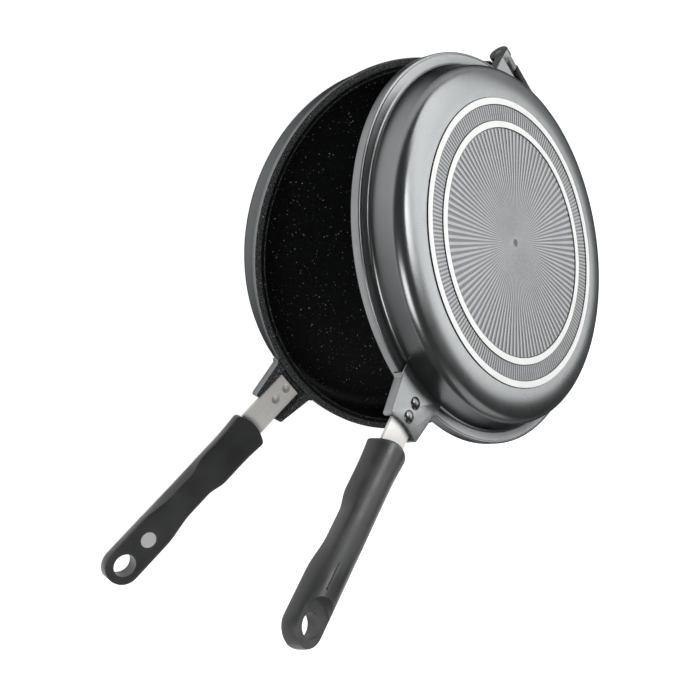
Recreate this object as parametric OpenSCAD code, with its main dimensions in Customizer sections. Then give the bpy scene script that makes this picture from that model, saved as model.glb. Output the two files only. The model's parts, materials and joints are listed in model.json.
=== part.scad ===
// Double sided flip pan: two cast halves on a rear hinge, each with its own half round handle.
// Origin: centre of the lower pan's foot ring. +Z up, handles towards -Y, hinge towards +Y.
// Each half is drawn with its rim on the plane z = 0 and its body above it, like the closed
// upper pan. The lower pan is the same half turned over.

/* [Pans] */
// Outer radius of the rim
rim_r = 150; // [130:1:170]
// Height of the upper pan's rim band
upper_rim_h = 7.8; // [6.5:0.1:10]
// Height of the lower pan's rim band
lower_rim_h = 6.2; // [5.5:0.1:10]
// Width of the upper rim's outer ledge, from its edge to the foot of the wall
upper_ledge = 10.5; // [8:0.5:14]
// Width of the lower rim's outer ledge, from its edge to the foot of the wall
lower_ledge = 5; // [4:0.5:7]
// How far the upper pan's wall leans inwards
upper_draft = 3; // [0:0.5:6]
// How far the lower pan's wall leans inwards
lower_draft = 1; // [0:0.5:6]
// Thickness of the upper pan's wall
upper_wall_t = 3.2; // [2.5:0.1:4]
// Thickness of the lower pan's wall
lower_wall_t = 4; // [3:0.1:4.2]
// Thickness of the floor
floor_t = 3.4; // [2.5:0.1:5]
// Depth of the upper pan, rim to base face
upper_depth = 34.7; // [30:0.1:60]
// Depth of the lower pan, rim to base face
lower_depth = 37; // [30:0.1:60]
// Radius of the rounded shoulder outside
shoulder_r = 9; // [5:0.5:12]
// Radius of the rounded corner inside
corner_r = 12; // [6:0.5:16]
// Radius of the rim's rounded inner edge
lip_r = 1.2; // [0.8:0.1:1.3]
// Radius of the fillet between the wall and the ledge
ledge_fillet = 2.4; // [1:0.1:3]
// Fall of the base between the shoulder and its flat middle
base_fall = 1.8; // [0:0.1:3]
// Distance of the base's flat middle from the rim's edge
base_flat_inset = 35; // [30:0.5:45]
// Gap between the two rims when the pan is closed
rim_gap = 0.3; // [0.2:0.05:0.6]

/* [Raised rings on the bases] */
// Distance of the large ring from the edge of the flat middle
ring_inset = 5.3; // [2:0.1:10]
// Spacing of the two rings
ring_pitch = 17.4; // [10:0.1:30]
// Width of each ring
ring_w = 5; // [3:0.1:7]
// Height of each ring
ring_h = 0.9; // [0.4:0.1:2]

/* [Seal] */
// Distance of the seal's middle from the rim's edge
seal_inset = 6.4; // [6.2:0.05:6.5]
// Width of the seal
seal_w = 1.8; // [1.4:0.1:2]
// Depth of the seal's seat in the upper rim
seal_seat = 2.4; // [1.5:0.1:3]
// How far the seal reaches below the parting plane
seal_reach = 1.2; // [0.6:0.1:1.6]
// Side clearance of the seal in the lower rim's groove
seal_play = 0.35; // [0.3:0.05:0.4]

/* [Hinge] */
// Distance of the hinge axis beyond the rim
hinge_out = 5; // [5:0.5:20]
// Radius of the hinge knuckles
knuckle_r = 8.2; // [7:0.1:9]
// Half width of the upper rear lug
hinge_half = 73.8; // [68:0.1:80]
// How much wider the lower rear lug is on each side
lower_lug_extra = 1.2; // [0:0.1:3]
// Width of each outer ear
ear_w = 6.8; // [5:0.1:9]
// Length of each spacer on the pin
spacer_l = 11.4; // [8:0.1:14]
// Radius of the spacers
spacer_r = 7.4; // [5:0.1:7.6]
// Half width of the middle knuckle
mid_half = 21.7; // [12:0.1:28]
// Diameter of the hinge pin
pin_d = 7; // [5:0.1:9]
// Gap between neighbouring knuckles
knuckle_gap = 0.35; // [0.3:0.05:0.6]
// Gap between a lug's rear edge and the other half's knuckles
sweep_gap = 0.8; // [0.5:0.1:1.5]
// Angle by which the pan stands open at rest
rest_open = 23.2; // [5:0.1:60]

/* [Front lugs] */
// Length of the front lug beyond the rim
lug_l = 30; // [26:0.5:36]
// How far the lugs reach in under the rim
lug_root = 13; // [12:0.5:14]
// Half width of the lug at the rim
lug_root_half = 21.2; // [18:0.1:26]
// Half width of the lug at its end
lug_tip_half = 16.8; // [15:0.1:20]
// Thickness of the lug's plate
lug_plate_t = 3; // [2:0.1:4]
// Thickness of the lug's side skirts
skirt_t = 3.4; // [2:0.1:3.6]
// Height of the skirts' free edges above the parting plane
skirt_z = 2.6; // [1:0.1:4]
// Depth of the hollow end of the lug
lug_hollow = 3.6; // [1:0.1:6]

/* [Tangs and rivets] */
// Width of the steel tang
tang_w = 22; // [16:0.5:22]
// Thickness of the tang
tang_t = 2.5; // [1.5:0.1:3]
// Height of the tang's inner face above the parting plane
tang_z = 5; // [4.4:0.1:6]
// Gap between the tang's inner end and the rim
tang_gap = 3; // [2:0.5:4]
// Width of the tang inside the grip
tang_tail_w = 14; // [10:0.5:16]
// Length of the tang's wide part inside the grip
tang_entry = 8; // [4:0.5:12]
// Distance of the first rivet from the rim
rivet_out = 7; // [6.9:0.1:8.5]
// Spacing of the two rivets
rivet_pitch = 12; // [10.5:0.5:13]
// Diameter of the rivet shanks
rivet_d = 4; // [3:0.1:5]
// Diameter of the rivets' domed heads
rivet_head_d = 9.6; // [7:0.1:10]
// Height of the rivets' domed heads
rivet_head_h = 1.8; // [1:0.1:2.5]
// Diameter of the rivets' set heads
rivet_set_d = 7.6; // [5.5:0.1:7.6]
// Depth of the rivets' set heads in the tang
rivet_set_h = 0.9; // [0.5:0.1:1.2]

/* [Grips] */
// Distance of the grip from the end of the lug
grip_out = 15.5; // [10:0.5:25]
// Length of the grip
grip_l = 153; // [150:0.5:170]
// Half width of the grip at its widest
grip_half = 16.6; // [15:0.1:20]
// How much the waist draws in on each side
waist_in = 3.4; // [0:0.1:3.6]
// Place of the waist from the near end
waist_at = 69; // [60:1:78]
// Length over which the waist draws in
waist_l = 62; // [40:1:70]
// Depth of the grip at its widest, from the parting plane
grip_depth = 17.4; // [16.6:0.1:20]
// How much the waist loses in depth
waist_shallow = 1; // [0:0.1:1.4]
// Gap of each grip's flat face from the parting plane
grip_flat = 0.2; // [0.15:0.05:0.5]
// Thickness of the eye tab from the parting plane
eye_t = 11.5; // [8:0.1:13]
// Radius of the flat round the hanging hole
eye_flat_r = 17; // [14:0.5:19]
// Radius of the hanging hole
eye_r = 8.5; // [6:0.1:10]
// Distance of the hanging hole from the grip's far end
eye_back = 14.5; // [13:0.1:17]

/* [Magnets and grip screws] */
// Distance of the magnet from the hanging hole
magnet_back = 24.4; // [22:0.1:27]
// Diameter of the magnet
magnet_d = 12; // [9:0.1:13]
// Thickness of the magnet
magnet_t = 2.3; // [1.5:0.1:2.4]
// Diameter of the screw that holds the grip
screw_d = 4; // [3:0.1:4.5]
// Diameter of the screw's head
screw_head_d = 7; // [6:0.1:8]
// Height of the screw's head
screw_head_h = 1.9; // [1.2:0.1:2]
// Diameter of the drive recess in the screw's head
screw_drive_d = 2.6; // [2:0.1:3]
// Outer diameter of the threaded insert
insert_d = 6.6; // [6:0.1:7.5]
// Length of the threaded insert
insert_l = 5.5; // [4:0.1:6]

/* [Hidden] */
$fn = 96;

// Clearances of the fits
running = 0.05;
press = 0.01;
slip = 0.15;
eps = 0.5;

parting_z = lower_depth + ring_h;
half_gap = rim_gap / 2;
seal_r = rim_r - seal_inset;
base_flat_r = rim_r - base_flat_inset;
ring_outer_r = base_flat_r - ring_inset;
ring_inner_r = ring_outer_r - ring_pitch;
hinge_y = rim_r + hinge_out;
lug_end = rim_r + lug_l;
tang_start = rim_r + tang_gap;
rivet_y = rim_r + rivet_out;
grip_start = lug_end + grip_out;
grip_nose = 13;
grip_corner = 5;
station_step = 8;
upper_wall_r = rim_r - upper_ledge;
lower_wall_r = rim_r - lower_ledge;
edge_round = 0.9;
lug_top = tang_z + tang_t + lug_plate_t;
lug_front = rim_r - lug_root;
lug_rear = hinge_y - knuckle_r - sweep_gap;
ear_in = hinge_half - ear_w;
spacer_out = ear_in - knuckle_gap;
spacer_in = spacer_out - spacer_l;
low_knuckle_out = spacer_in - knuckle_gap;
low_knuckle_in = mid_half + knuckle_gap;
eye_y = grip_start + grip_l - eye_back;
magnet_y = eye_y - magnet_back;
tang_end = magnet_y + screw_head_d / 2 + 3;
arc_steps = 8;

// Places the upper half: turned open about the hinge axis
module upper_place() {
    translate([0, hinge_y, parting_z])
        rotate([-rest_open, 0, 0])
            translate([0, -hinge_y, 0])
                children();
}

// Places the lower half: turned over under the parting plane
module lower_place() {
    translate([0, 0, parting_z])
        mirror([0, 0, 1])
            children();
}

// Points of an arc about (cx, cy) from angle a0 to a1
function arc(cx, cy, r, a0, a1, n = arc_steps) =
    [for (i = [0 : n]) let (a = a0 + (a1 - a0) * i / n) [cx + r * cos(a), cy + r * sin(a)]];

// Cross-section of a pan half, from the rim's inner edge round the outside to the middle
module pan_section(depth, rim_h, wall_r, draft, wall_t) {
    shoulder_z = depth - base_fall - shoulder_r * sin(80);
    floor_z = depth - floor_t;
    wall_top_r = wall_r - draft;
    in_r = wall_r - wall_t;
    in_top_r = wall_top_r - wall_t;
    polygon(concat(
        arc(in_r + lip_r, half_gap + lip_r, lip_r, 180, 270, 5),
        arc(rim_r - edge_round, half_gap + edge_round, edge_round, -90, 0, 4),
        arc(rim_r - edge_round, rim_h - edge_round, edge_round, 0, 90, 4),
        arc(wall_r + ledge_fillet, rim_h + ledge_fillet, ledge_fillet, -90, -180, 5),
        arc(wall_top_r - shoulder_r, shoulder_z, shoulder_r, 0, 80),
        [[base_flat_r, depth]],
        ring_points(ring_outer_r, depth),
        ring_points(ring_inner_r, depth),
        [[0, depth]],
        [[0, floor_z]],
        arc(in_top_r - corner_r, floor_z - corner_r, corner_r, 90, 0)
    ));
}

// Step of one raised ring on the base
function ring_points(r, depth) = [
    [r, depth],
    [r - 0.3, depth + ring_h],
    [r - ring_w + 0.3, depth + ring_h],
    [r - ring_w, depth]
];

// Bowl of a pan half
module bowl(depth, rim_h, wall_r, draft, wall_t) {
    rotate_extrude()
        pan_section(depth, rim_h, wall_r, draft, wall_t);
}

// Ring cut in the rim for the seal
module seal_groove(play, groove_depth) {
    rotate_extrude()
        translate([seal_r - seal_w / 2 - play, half_gap - eps])
            square([seal_w + 2 * play, groove_depth + eps]);
}

// Relief round the other half's knuckles, from x0 to x1
module sweep_relief(x0, x1) {
    translate([x0, hinge_y, 0])
        rotate([0, 90, 0])
            cylinder(r = knuckle_r + sweep_gap, h = x1 - x0);
}

// Plan of the front lug, hollow at its end
module lug_plan(inset) {
    sagitta_r = (pow(lug_tip_half, 2) + pow(lug_hollow, 2)) / (2 * lug_hollow);
    difference() {
        polygon([
            [-lug_root_half + inset, -rim_r],
            [-lug_root_half - 1.5 + inset, -lug_front],
            [lug_root_half + 1.5 - inset, -lug_front],
            [lug_root_half - inset, -rim_r],
            [lug_tip_half - inset, -lug_end + 2],
            [lug_tip_half - 2 - inset, -lug_end],
            [-lug_tip_half + 2 + inset, -lug_end],
            [-lug_tip_half + inset, -lug_end + 2]
        ]);
        translate([0, -lug_end + lug_hollow - sagitta_r])
            circle(r = sagitta_r);
    }
}

// Front lug: a plate with two side skirts, bored for the rivets
module front_lug(clear_r) {
    difference() {
        union() {
            translate([0, 0, tang_z + tang_t])
                linear_extrude(lug_plate_t)
                    lug_plan(0);
            translate([0, 0, skirt_z])
                linear_extrude(lug_top - skirt_z - lug_plate_t / 2)
                    difference() {
                        lug_plan(0);
                        translate([-lug_tip_half + skirt_t, -lug_end - eps])
                            square([2 * (lug_tip_half - skirt_t), lug_end - rim_r + 2 * eps]);
                    }
        }
        for (y = [rivet_y, rivet_y + rivet_pitch])
            translate([0, -y, 0])
                cylinder(d = rivet_d + 2 * press, h = lug_top + eps);
        cylinder(r = clear_r, h = lug_top + 2 * eps);
    }
}

// Root of a rear lug: a plate as thick as the knuckles' radius, outside the wall only
module rear_plate(half, corner, clear_r) {
    translate([0, 0, half_gap])
        linear_extrude(knuckle_r - half_gap)
            difference() {
                polygon([
                    [-half, 0],
                    [half, 0],
                    [half, lug_rear - corner],
                    [half - corner * 0.3, lug_rear - corner * 0.3],
                    [half - corner, lug_rear],
                    [-half + corner, lug_rear],
                    [-half + corner * 0.3, lug_rear - corner * 0.3],
                    [-half, lug_rear - corner]
                ]);
                circle(r = clear_r);
            }
}

// One knuckle from x0 to x1 with its web to the lug
module knuckle(x0, x1) {
    translate([x0, hinge_y, 0])
        rotate([0, 90, 0])
            cylinder(r = knuckle_r, h = x1 - x0);
    translate([x0, lug_rear - 4, half_gap])
        cube([x1 - x0, hinge_y - lug_rear + 4, knuckle_r - half_gap]);
}

// Bore along the hinge axis
module pin_bore(clear) {
    translate([-hinge_half - 5, hinge_y, 0])
        rotate([0, 90, 0])
            cylinder(d = pin_d + 2 * clear, h = 2 * hinge_half + 10);
}

// Half width of the grip at a distance s from its near end
function waist(s) = abs(s - waist_at) < waist_l / 2 ? (1 + cos(360 * (s - waist_at) / waist_l)) / 2 : 0;
function near_round(s) = s < grip_corner ? sqrt(1 - pow(1 - s / grip_corner, 2)) : 1;
function far_round(s) = s > grip_l - grip_nose
    ? sqrt(max(0, 1 - pow((s - grip_l + grip_nose) / grip_nose, 2))) : 1;
function grip_w(s) = (grip_half - waist_in * waist(s) - 0.6 * max(0, 1 - s / 40))
    * (0.86 + 0.14 * near_round(s)) * far_round(s);
function grip_h(s) = (grip_depth - waist_shallow * waist(s)) * (0.72 + 0.28 * near_round(s));

// Outline of one slice of the grip: flat below, round above
slice_n = 20;
function slice(s) = let (w = max(grip_w(s), 0.4), h = grip_h(s), low = grip_flat)
    concat(
        [[w - 0.8, low], [w, low + 0.8]],
        [for (i = [1 : slice_n - 1]) let (a = 180 * i / slice_n)
            [w * sign(cos(a)) * pow(abs(cos(a)), 0.88), low + 0.8 + (h - low - 0.8) * pow(sin(a), 0.88)]],
        [[-w, low + 0.8], [-w + 0.8, low]]
    );
grip_stations = concat(
    [for (i = [0 : 4]) grip_corner * pow(i / 4, 2)],
    [for (s = [grip_corner + station_step : station_step : grip_l - grip_nose - station_step]) s],
    [for (i = [0 : 9]) grip_l - grip_nose + 0.998 * grip_nose * sin(90 * i / 9)]
);

// Closed skin of the grip through all its slices
module grip_solid() {
    rows = len(grip_stations);
    cols = slice_n + 3;
    points = [for (s = grip_stations) for (p = slice(s)) [p[0], -grip_start - s, p[1]]];
    sides = [for (i = [0 : rows - 2]) for (j = [0 : cols - 1]) for (half = [0, 1])
        let (k = (j + 1) % cols, a = i * cols + j, b = i * cols + k, c = a + cols, d = b + cols)
            half == 0 ? [a, b, d] : [a, d, c]];
    near = [for (j = [1 : cols - 2]) [0, j + 1, j]];
    last = (rows - 1) * cols;
    far = [for (j = [1 : cols - 2]) [last, last + j, last + j + 1]];
    polyhedron(points = points, faces = concat(sides, near, far), convexity = 4);
}

// Grip with its tang slot, magnet pocket, screw seat and hanging eye
module grip() {
    difference() {
        grip_solid();
        translate([0, -eye_y, -eps])
            cylinder(r = eye_r, h = grip_depth + 2 * eps);
        translate([0, -eye_y, eye_t])
            cylinder(r = eye_flat_r, h = grip_depth);
        translate([-tang_w / 2 - slip, -grip_start - tang_entry - slip, tang_z - slip])
            cube([tang_w + 2 * slip, tang_entry + 2 * slip + eps, tang_t + 2 * slip]);
        translate([-tang_tail_w / 2 - slip, -tang_end - slip, tang_z - slip])
            cube([tang_tail_w + 2 * slip, tang_end - grip_start, tang_t + 2 * slip]);
        translate([0, -magnet_y, -eps])
            cylinder(d = magnet_d + 2 * press, h = half_gap + magnet_t + 0.1 + eps);
        translate([0, -magnet_y, 0])
            cylinder(d = screw_head_d + 2 * slip, h = tang_z);
        translate([0, -magnet_y, 0])
            cylinder(d = screw_d + 2 * slip, h = tang_z + tang_t + 1);
        translate([0, -magnet_y, tang_z + tang_t + slip])
            cylinder(d = insert_d + 2 * press, h = insert_l + 0.5);
    }
}

// Steel tang: wide outside the grip, narrow inside it
module tang() {
    difference() {
        translate([0, 0, tang_z])
            linear_extrude(tang_t)
                polygon([
                    [-tang_w / 2, -tang_start],
                    [tang_w / 2, -tang_start],
                    [tang_w / 2, -grip_start - tang_entry],
                    [tang_tail_w / 2, -grip_start - tang_entry],
                    [tang_tail_w / 2, -tang_end],
                    [-tang_tail_w / 2, -tang_end],
                    [-tang_tail_w / 2, -grip_start - tang_entry],
                    [-tang_w / 2, -grip_start - tang_entry]
                ]);
        for (y = [rivet_y, rivet_y + rivet_pitch]) {
            translate([0, -y, tang_z - eps])
                cylinder(d = rivet_d + 2 * press, h = tang_t + 2 * eps);
            translate([0, -y, tang_z - eps])
                cylinder(d = rivet_set_d + 2 * press, h = rivet_set_h + eps);
        }
        translate([0, -magnet_y, tang_z - eps])
            cylinder(d = screw_d + 2 * slip, h = tang_t + 2 * eps);
    }
}

// Rivet: domed head outside, shank, and a set head with a dimple inside
module rivet(y) {
    dome_r = (pow(rivet_head_d / 2, 2) + pow(rivet_head_h, 2)) / (2 * rivet_head_h);
    translate([0, -y, 0])
        difference() {
            union() {
                intersection() {
                    translate([0, 0, lug_top + rivet_head_h - dome_r])
                        sphere(r = dome_r);
                    translate([0, 0, lug_top])
                        cylinder(d = rivet_head_d, h = rivet_head_h + eps);
                }
                translate([0, 0, tang_z])
                    cylinder(d = rivet_d, h = lug_top - tang_z + 0.2);
                translate([0, 0, tang_z])
                    cylinder(d = rivet_set_d, h = rivet_set_h);
            }
            translate([0, 0, tang_z - rivet_set_d * 0.62])
                sphere(r = rivet_set_d * 0.72);
        }
}

// Disc magnet in the grip's flat face
module magnet() {
    translate([0, -magnet_y, half_gap])
        cylinder(d = magnet_d, h = magnet_t);
}

// Pan head screw under the magnet, through the tang into the insert
module grip_screw() {
    translate([0, -magnet_y, 0])
        difference() {
            union() {
                translate([0, 0, tang_z - screw_head_h])
                    cylinder(d = screw_head_d, h = screw_head_h);
                translate([0, 0, tang_z - 0.1])
                    cylinder(d = screw_d, h = tang_t + insert_l);
            }
            translate([0, 0, tang_z - screw_head_h - eps])
                cylinder(d = screw_drive_d, h = screw_head_h / 2 + eps, $fn = 6);
        }
}

// Threaded insert moulded in the grip
module insert() {
    translate([0, -magnet_y, tang_z + tang_t + slip])
        difference() {
            cylinder(d = insert_d, h = insert_l);
            translate([0, 0, -eps])
                cylinder(d = screw_d + 2 * press, h = insert_l + 2 * eps);
        }
}

// Spacer sleeve on the pin between an ear and a lower knuckle
module spacer(x0) {
    translate([x0, hinge_y, 0])
        rotate([0, 90, 0])
            difference() {
                cylinder(r = spacer_r, h = spacer_l);
                translate([0, 0, -eps])
                    cylinder(d = pin_d + 2 * running, h = spacer_l + 2 * eps);
            }
}

module lower_pan() {
    color("dimgray")
        lower_place()
            difference() {
                union() {
                    bowl(lower_depth, lower_rim_h, lower_wall_r, lower_draft, lower_wall_t);
                    front_lug(lower_wall_r - lower_wall_t / 2);
                    rear_plate(hinge_half + lower_lug_extra, 5, lower_wall_r - lower_wall_t / 2);
                    for (side = [0, 1])
                        mirror([side, 0, 0])
                            knuckle(low_knuckle_in, low_knuckle_out);
                }
                seal_groove(seal_play, seal_reach + seal_play);
                sweep_relief(-low_knuckle_in, low_knuckle_in);
                pin_bore(running);
            }
}

module upper_pan() {
    color("slategray")
        upper_place()
            difference() {
                union() {
                    bowl(upper_depth, upper_rim_h, upper_wall_r, upper_draft, upper_wall_t);
                    front_lug(upper_wall_r - upper_wall_t / 2);
                    rear_plate(hinge_half, 1.2, upper_wall_r - upper_wall_t / 2);
                    knuckle(-mid_half, mid_half);
                    for (side = [0, 1])
                        mirror([side, 0, 0])
                            knuckle(ear_in, hinge_half);
                }
                seal_groove(press, seal_seat);
                for (side = [0, 1])
                    mirror([side, 0, 0])
                        sweep_relief(mid_half, ear_in);
                pin_bore(press);
            }
}

module rim_seal() {
    color("darkslategray")
        upper_place()
            rotate_extrude()
                translate([seal_r - seal_w / 2, -seal_reach])
                    square([seal_w, seal_reach + half_gap + seal_seat]);
}

module hinge_pin() {
    color("silver")
        upper_place()
            translate([-hinge_half, hinge_y, 0])
                rotate([0, 90, 0])
                    cylinder(d = pin_d, h = 2 * hinge_half);
}

module hinge_spacer_left() {
    color("gray")
        upper_place()
            spacer(-spacer_out);
}

module hinge_spacer_right() {
    color("gray")
        upper_place()
            spacer(spacer_in);
}

module lower_tang() {
    color("lightgray")
        lower_place()
            tang();
}

module upper_tang() {
    color("lightgray")
        upper_place()
            tang();
}

module lower_rivet_inner() {
    color("gray")
        lower_place()
            rivet(rivet_y);
}

module lower_rivet_outer() {
    color("gray")
        lower_place()
            rivet(rivet_y + rivet_pitch);
}

module upper_rivet_inner() {
    color("gray")
        upper_place()
            rivet(rivet_y);
}

module upper_rivet_outer() {
    color("gray")
        upper_place()
            rivet(rivet_y + rivet_pitch);
}

module lower_grip() {
    color("#2b2b2d")
        lower_place()
            grip();
}

module upper_grip() {
    color("#2b2b2d")
        upper_place()
            grip();
}

module lower_magnet() {
    color("silver")
        lower_place()
            magnet();
}

module upper_magnet() {
    color("silver")
        upper_place()
            magnet();
}

module lower_grip_screw() {
    color("gray")
        lower_place()
            grip_screw();
}

module upper_grip_screw() {
    color("gray")
        upper_place()
            grip_screw();
}

module lower_insert() {
    color("goldenrod")
        lower_place()
            insert();
}

module upper_insert() {
    color("goldenrod")
        upper_place()
            insert();
}

lower_pan();
upper_pan();
rim_seal();
hinge_pin();
hinge_spacer_left();
hinge_spacer_right();
lower_tang();
upper_tang();
lower_rivet_inner();
lower_rivet_outer();
upper_rivet_inner();
upper_rivet_outer();
lower_grip();
upper_grip();
lower_magnet();
upper_magnet();
lower_grip_screw();
upper_grip_screw();
lower_insert();
upper_insert();
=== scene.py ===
"""Double sided flip pan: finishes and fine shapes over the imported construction.

Each half of the pan is drawn in its own frame, in millimetres, with its rim on the plane z = 0,
its body above it, the handle towards -Y and the hinge towards +Y. A Half places it in the
object's frame, in metres.
"""

from __future__ import annotations

import json
import logging
import math
from dataclasses import dataclass
from enum import Enum
from typing import Sequence

import bmesh
import bpy
import numpy as np
from mathutils import Matrix, Vector

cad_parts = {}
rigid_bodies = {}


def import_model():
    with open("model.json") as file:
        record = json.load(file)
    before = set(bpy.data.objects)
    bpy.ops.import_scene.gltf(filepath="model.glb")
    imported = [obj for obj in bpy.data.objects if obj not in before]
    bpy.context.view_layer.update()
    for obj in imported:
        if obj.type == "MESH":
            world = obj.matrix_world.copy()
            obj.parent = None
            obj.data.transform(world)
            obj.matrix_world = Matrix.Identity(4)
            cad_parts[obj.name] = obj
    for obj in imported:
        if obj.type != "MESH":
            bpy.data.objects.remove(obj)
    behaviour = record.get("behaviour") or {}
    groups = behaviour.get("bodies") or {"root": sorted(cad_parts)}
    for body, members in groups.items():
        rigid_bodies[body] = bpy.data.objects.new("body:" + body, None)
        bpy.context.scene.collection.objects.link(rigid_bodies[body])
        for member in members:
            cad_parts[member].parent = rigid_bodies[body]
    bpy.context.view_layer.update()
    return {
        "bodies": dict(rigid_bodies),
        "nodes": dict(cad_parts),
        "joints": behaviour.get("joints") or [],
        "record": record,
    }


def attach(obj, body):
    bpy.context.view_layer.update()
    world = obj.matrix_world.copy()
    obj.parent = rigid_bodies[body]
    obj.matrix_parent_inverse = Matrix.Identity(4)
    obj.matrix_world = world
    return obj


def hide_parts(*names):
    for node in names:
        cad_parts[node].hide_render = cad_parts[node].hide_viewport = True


LOG = logging.getLogger("flip_pan")
MM = 0.001

# Steps round the hinge's rods, and round the discs that are only cut away.
BAR_SIDES = 72
CUTTER_SIDES = 144

Point2 = tuple[float, float]
Point3 = tuple[float, float, float]
Colour = tuple[float, float, float]


class Half(Enum):
    """One of the two halves of the pan."""

    LOWER = "lower"
    UPPER = "upper"

    @property
    def body(self) -> str:
        """Name of the CAD body that this half's pieces ride on."""
        return f"{self.value}_half"

    def node(self, name: str) -> str:
        """Name of this half's CAD node."""
        return f"{self.value}_{name}"


# Height of each half's base over its rim, in millimetres.
BASE_LEVEL = {Half.LOWER: 37.0, Half.UPPER: 34.7}


@dataclass(frozen=True)
class Placing:
    """Turns the halves' own frames into the object's frame."""

    hinge_y: float
    parting_z: float
    rest_open: float

    @classmethod
    def from_joint(cls, joint: dict) -> "Placing":
        """Reads the hinge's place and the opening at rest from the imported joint.

        Args:
            joint: The rear hinge as the frame gives it.

        Returns:
            The placing of both halves.
        """
        _, y, z = joint["pos_m"]
        return cls(y / MM, z / MM, -joint["range_deg"][0])

    def matrix(self, half: Half) -> Matrix:
        """Matrix from a half's frame in millimetres to the object's frame in metres.

        Args:
            half: The half whose frame is meant.

        Returns:
            The matrix.
        """
        scale = Matrix.Diagonal((MM, MM, MM, 1.0))
        lift = Matrix.Translation((0.0, 0.0, self.parting_z))
        if half is Half.LOWER:
            return scale @ lift @ Matrix.Diagonal((1.0, 1.0, -1.0, 1.0))
        hinge = Matrix.Translation((0.0, self.hinge_y, 0.0))
        turn = Matrix.Rotation(-math.radians(self.rest_open), 4, "X")
        return scale @ lift @ hinge @ turn @ hinge.inverted()


def arc(centre: Point2, radius: float, start: float, end: float, steps: int) -> list[Point2]:
    """Points of an arc.

    Args:
        centre: Centre of the arc.
        radius: Radius of the arc.
        start: Angle of the first point, in degrees.
        end: Angle of the last point, in degrees.
        steps: Number of steps between them.

    Returns:
        The points, both ends included.
    """
    angles = (math.radians(start + (end - start) * i / steps) for i in range(steps + 1))
    return [(centre[0] + radius * math.cos(a), centre[1] + radius * math.sin(a)) for a in angles]


def new_object(name: str, mesh: bpy.types.Mesh) -> bpy.types.Object:
    """Makes an object of a mesh and links it to the scene.

    Args:
        name: Name of the object.
        mesh: Its mesh.

    Returns:
        The object.
    """
    obj = bpy.data.objects.new(name, mesh)
    bpy.context.scene.collection.objects.link(obj)
    return obj


def bmesh_object(name: str, bm: bmesh.types.BMesh) -> bpy.types.Object:
    """Makes an object of a bmesh, and frees the bmesh.

    Args:
        name: Name of the object.
        bm: The shape, which can't be used afterwards.

    Returns:
        The object.
    """
    mesh = bpy.data.meshes.new(name)
    bm.to_mesh(mesh)
    bm.free()
    return new_object(name, mesh)


def smooth(mesh: bpy.types.Mesh, angle: float = 32.0) -> None:
    """Shades a mesh smooth, with creases above an angle in degrees."""
    mesh.shade_smooth()
    mesh.set_sharp_from_angle(angle=math.radians(angle))


def evaluated_copy(obj: bpy.types.Object, name: str) -> bpy.types.Object:
    """Bakes an object's modifiers into a plain mesh object and deletes the old one.

    Args:
        obj: The object with its modifiers.
        name: Name of the new object.

    Returns:
        The plain mesh object.
    """
    graph = bpy.context.evaluated_depsgraph_get()
    mesh = bpy.data.meshes.new_from_object(obj.evaluated_get(graph))
    mesh.name = name
    bpy.data.objects.remove(obj)
    return new_object(name, mesh)


def boolean(obj: bpy.types.Object, tools: Sequence[bpy.types.Object], operation: str) -> bpy.types.Object:
    """Joins tools to an object or cuts them from it, and deletes the tools.

    Args:
        obj: The object that is worked on.
        tools: The solids that are added or cut away.
        operation: UNION or DIFFERENCE.

    Returns:
        The new plain mesh object, with the old name.
    """
    for tool in tools:
        modifier = obj.modifiers.new("Cut", "BOOLEAN")
        modifier.operation = operation
        modifier.solver = "MANIFOLD"
        modifier.object = tool
    name = obj.name
    obj.name = name + "_work"
    result = evaluated_copy(obj, name)
    for tool in tools:
        bpy.data.objects.remove(tool)
    return result


def prism(outline: Sequence[Point2], low: float, high: float, bevel: float = 0.0,
          steps: int = 3) -> bmesh.types.BMesh:
    """Upright prism over an outline, with rounded edges.

    Args:
        outline: The outline's points, anticlockwise seen from above.
        low: Height of the lower face.
        high: Height of the upper face.
        bevel: Width of the rounding of its sharp edges.
        steps: Steps across the rounding.

    Returns:
        The prism, closed, with faces outwards.
    """
    bm = bmesh.new()
    base = bm.faces.new([bm.verts.new((x, y, low)) for x, y in outline])
    top = bmesh.ops.extrude_face_region(bm, geom=[base])
    for vert in (v for v in top["geom"] if isinstance(v, bmesh.types.BMVert)):
        vert.co.z = high
    bmesh.ops.recalc_face_normals(bm, faces=bm.faces)
    if bevel > 0.0:
        crease = math.radians(25.0)
        sharp = [e for e in bm.edges if e.calc_face_angle(0.0) > crease]
        bmesh.ops.bevel(bm, geom=sharp, offset=bevel, segments=steps, profile=0.5, affect="EDGES",
                        clamp_overlap=True)
    return bm


def disc(radius: float, low: float, high: float, bevel: float = 0.0, centre: Point2 = (0.0, 0.0),
         sides: int = 96) -> bmesh.types.BMesh:
    """Round prism with rounded edges."""
    return prism(arc(centre, radius, 0.0, 360.0 * (1.0 - 1.0 / sides), sides - 1), low, high, bevel)


def ring_row(bm: bmesh.types.BMesh, radius: float, height: float, count: int,
             centre: Point2 = (0.0, 0.0)) -> list[bmesh.types.BMVert]:
    """Adds a ring of vertices about an upright axis.

    Args:
        bm: The shape that it is added to.
        radius: Radius of the ring.
        height: Height of the ring.
        count: Number of vertices.
        centre: Place of the axis.

    Returns:
        The vertices in order.
    """
    turns = (2.0 * math.pi * i / count for i in range(count))
    return [bm.verts.new((centre[0] + radius * math.cos(a), centre[1] + radius * math.sin(a), height))
            for a in turns]


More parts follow.
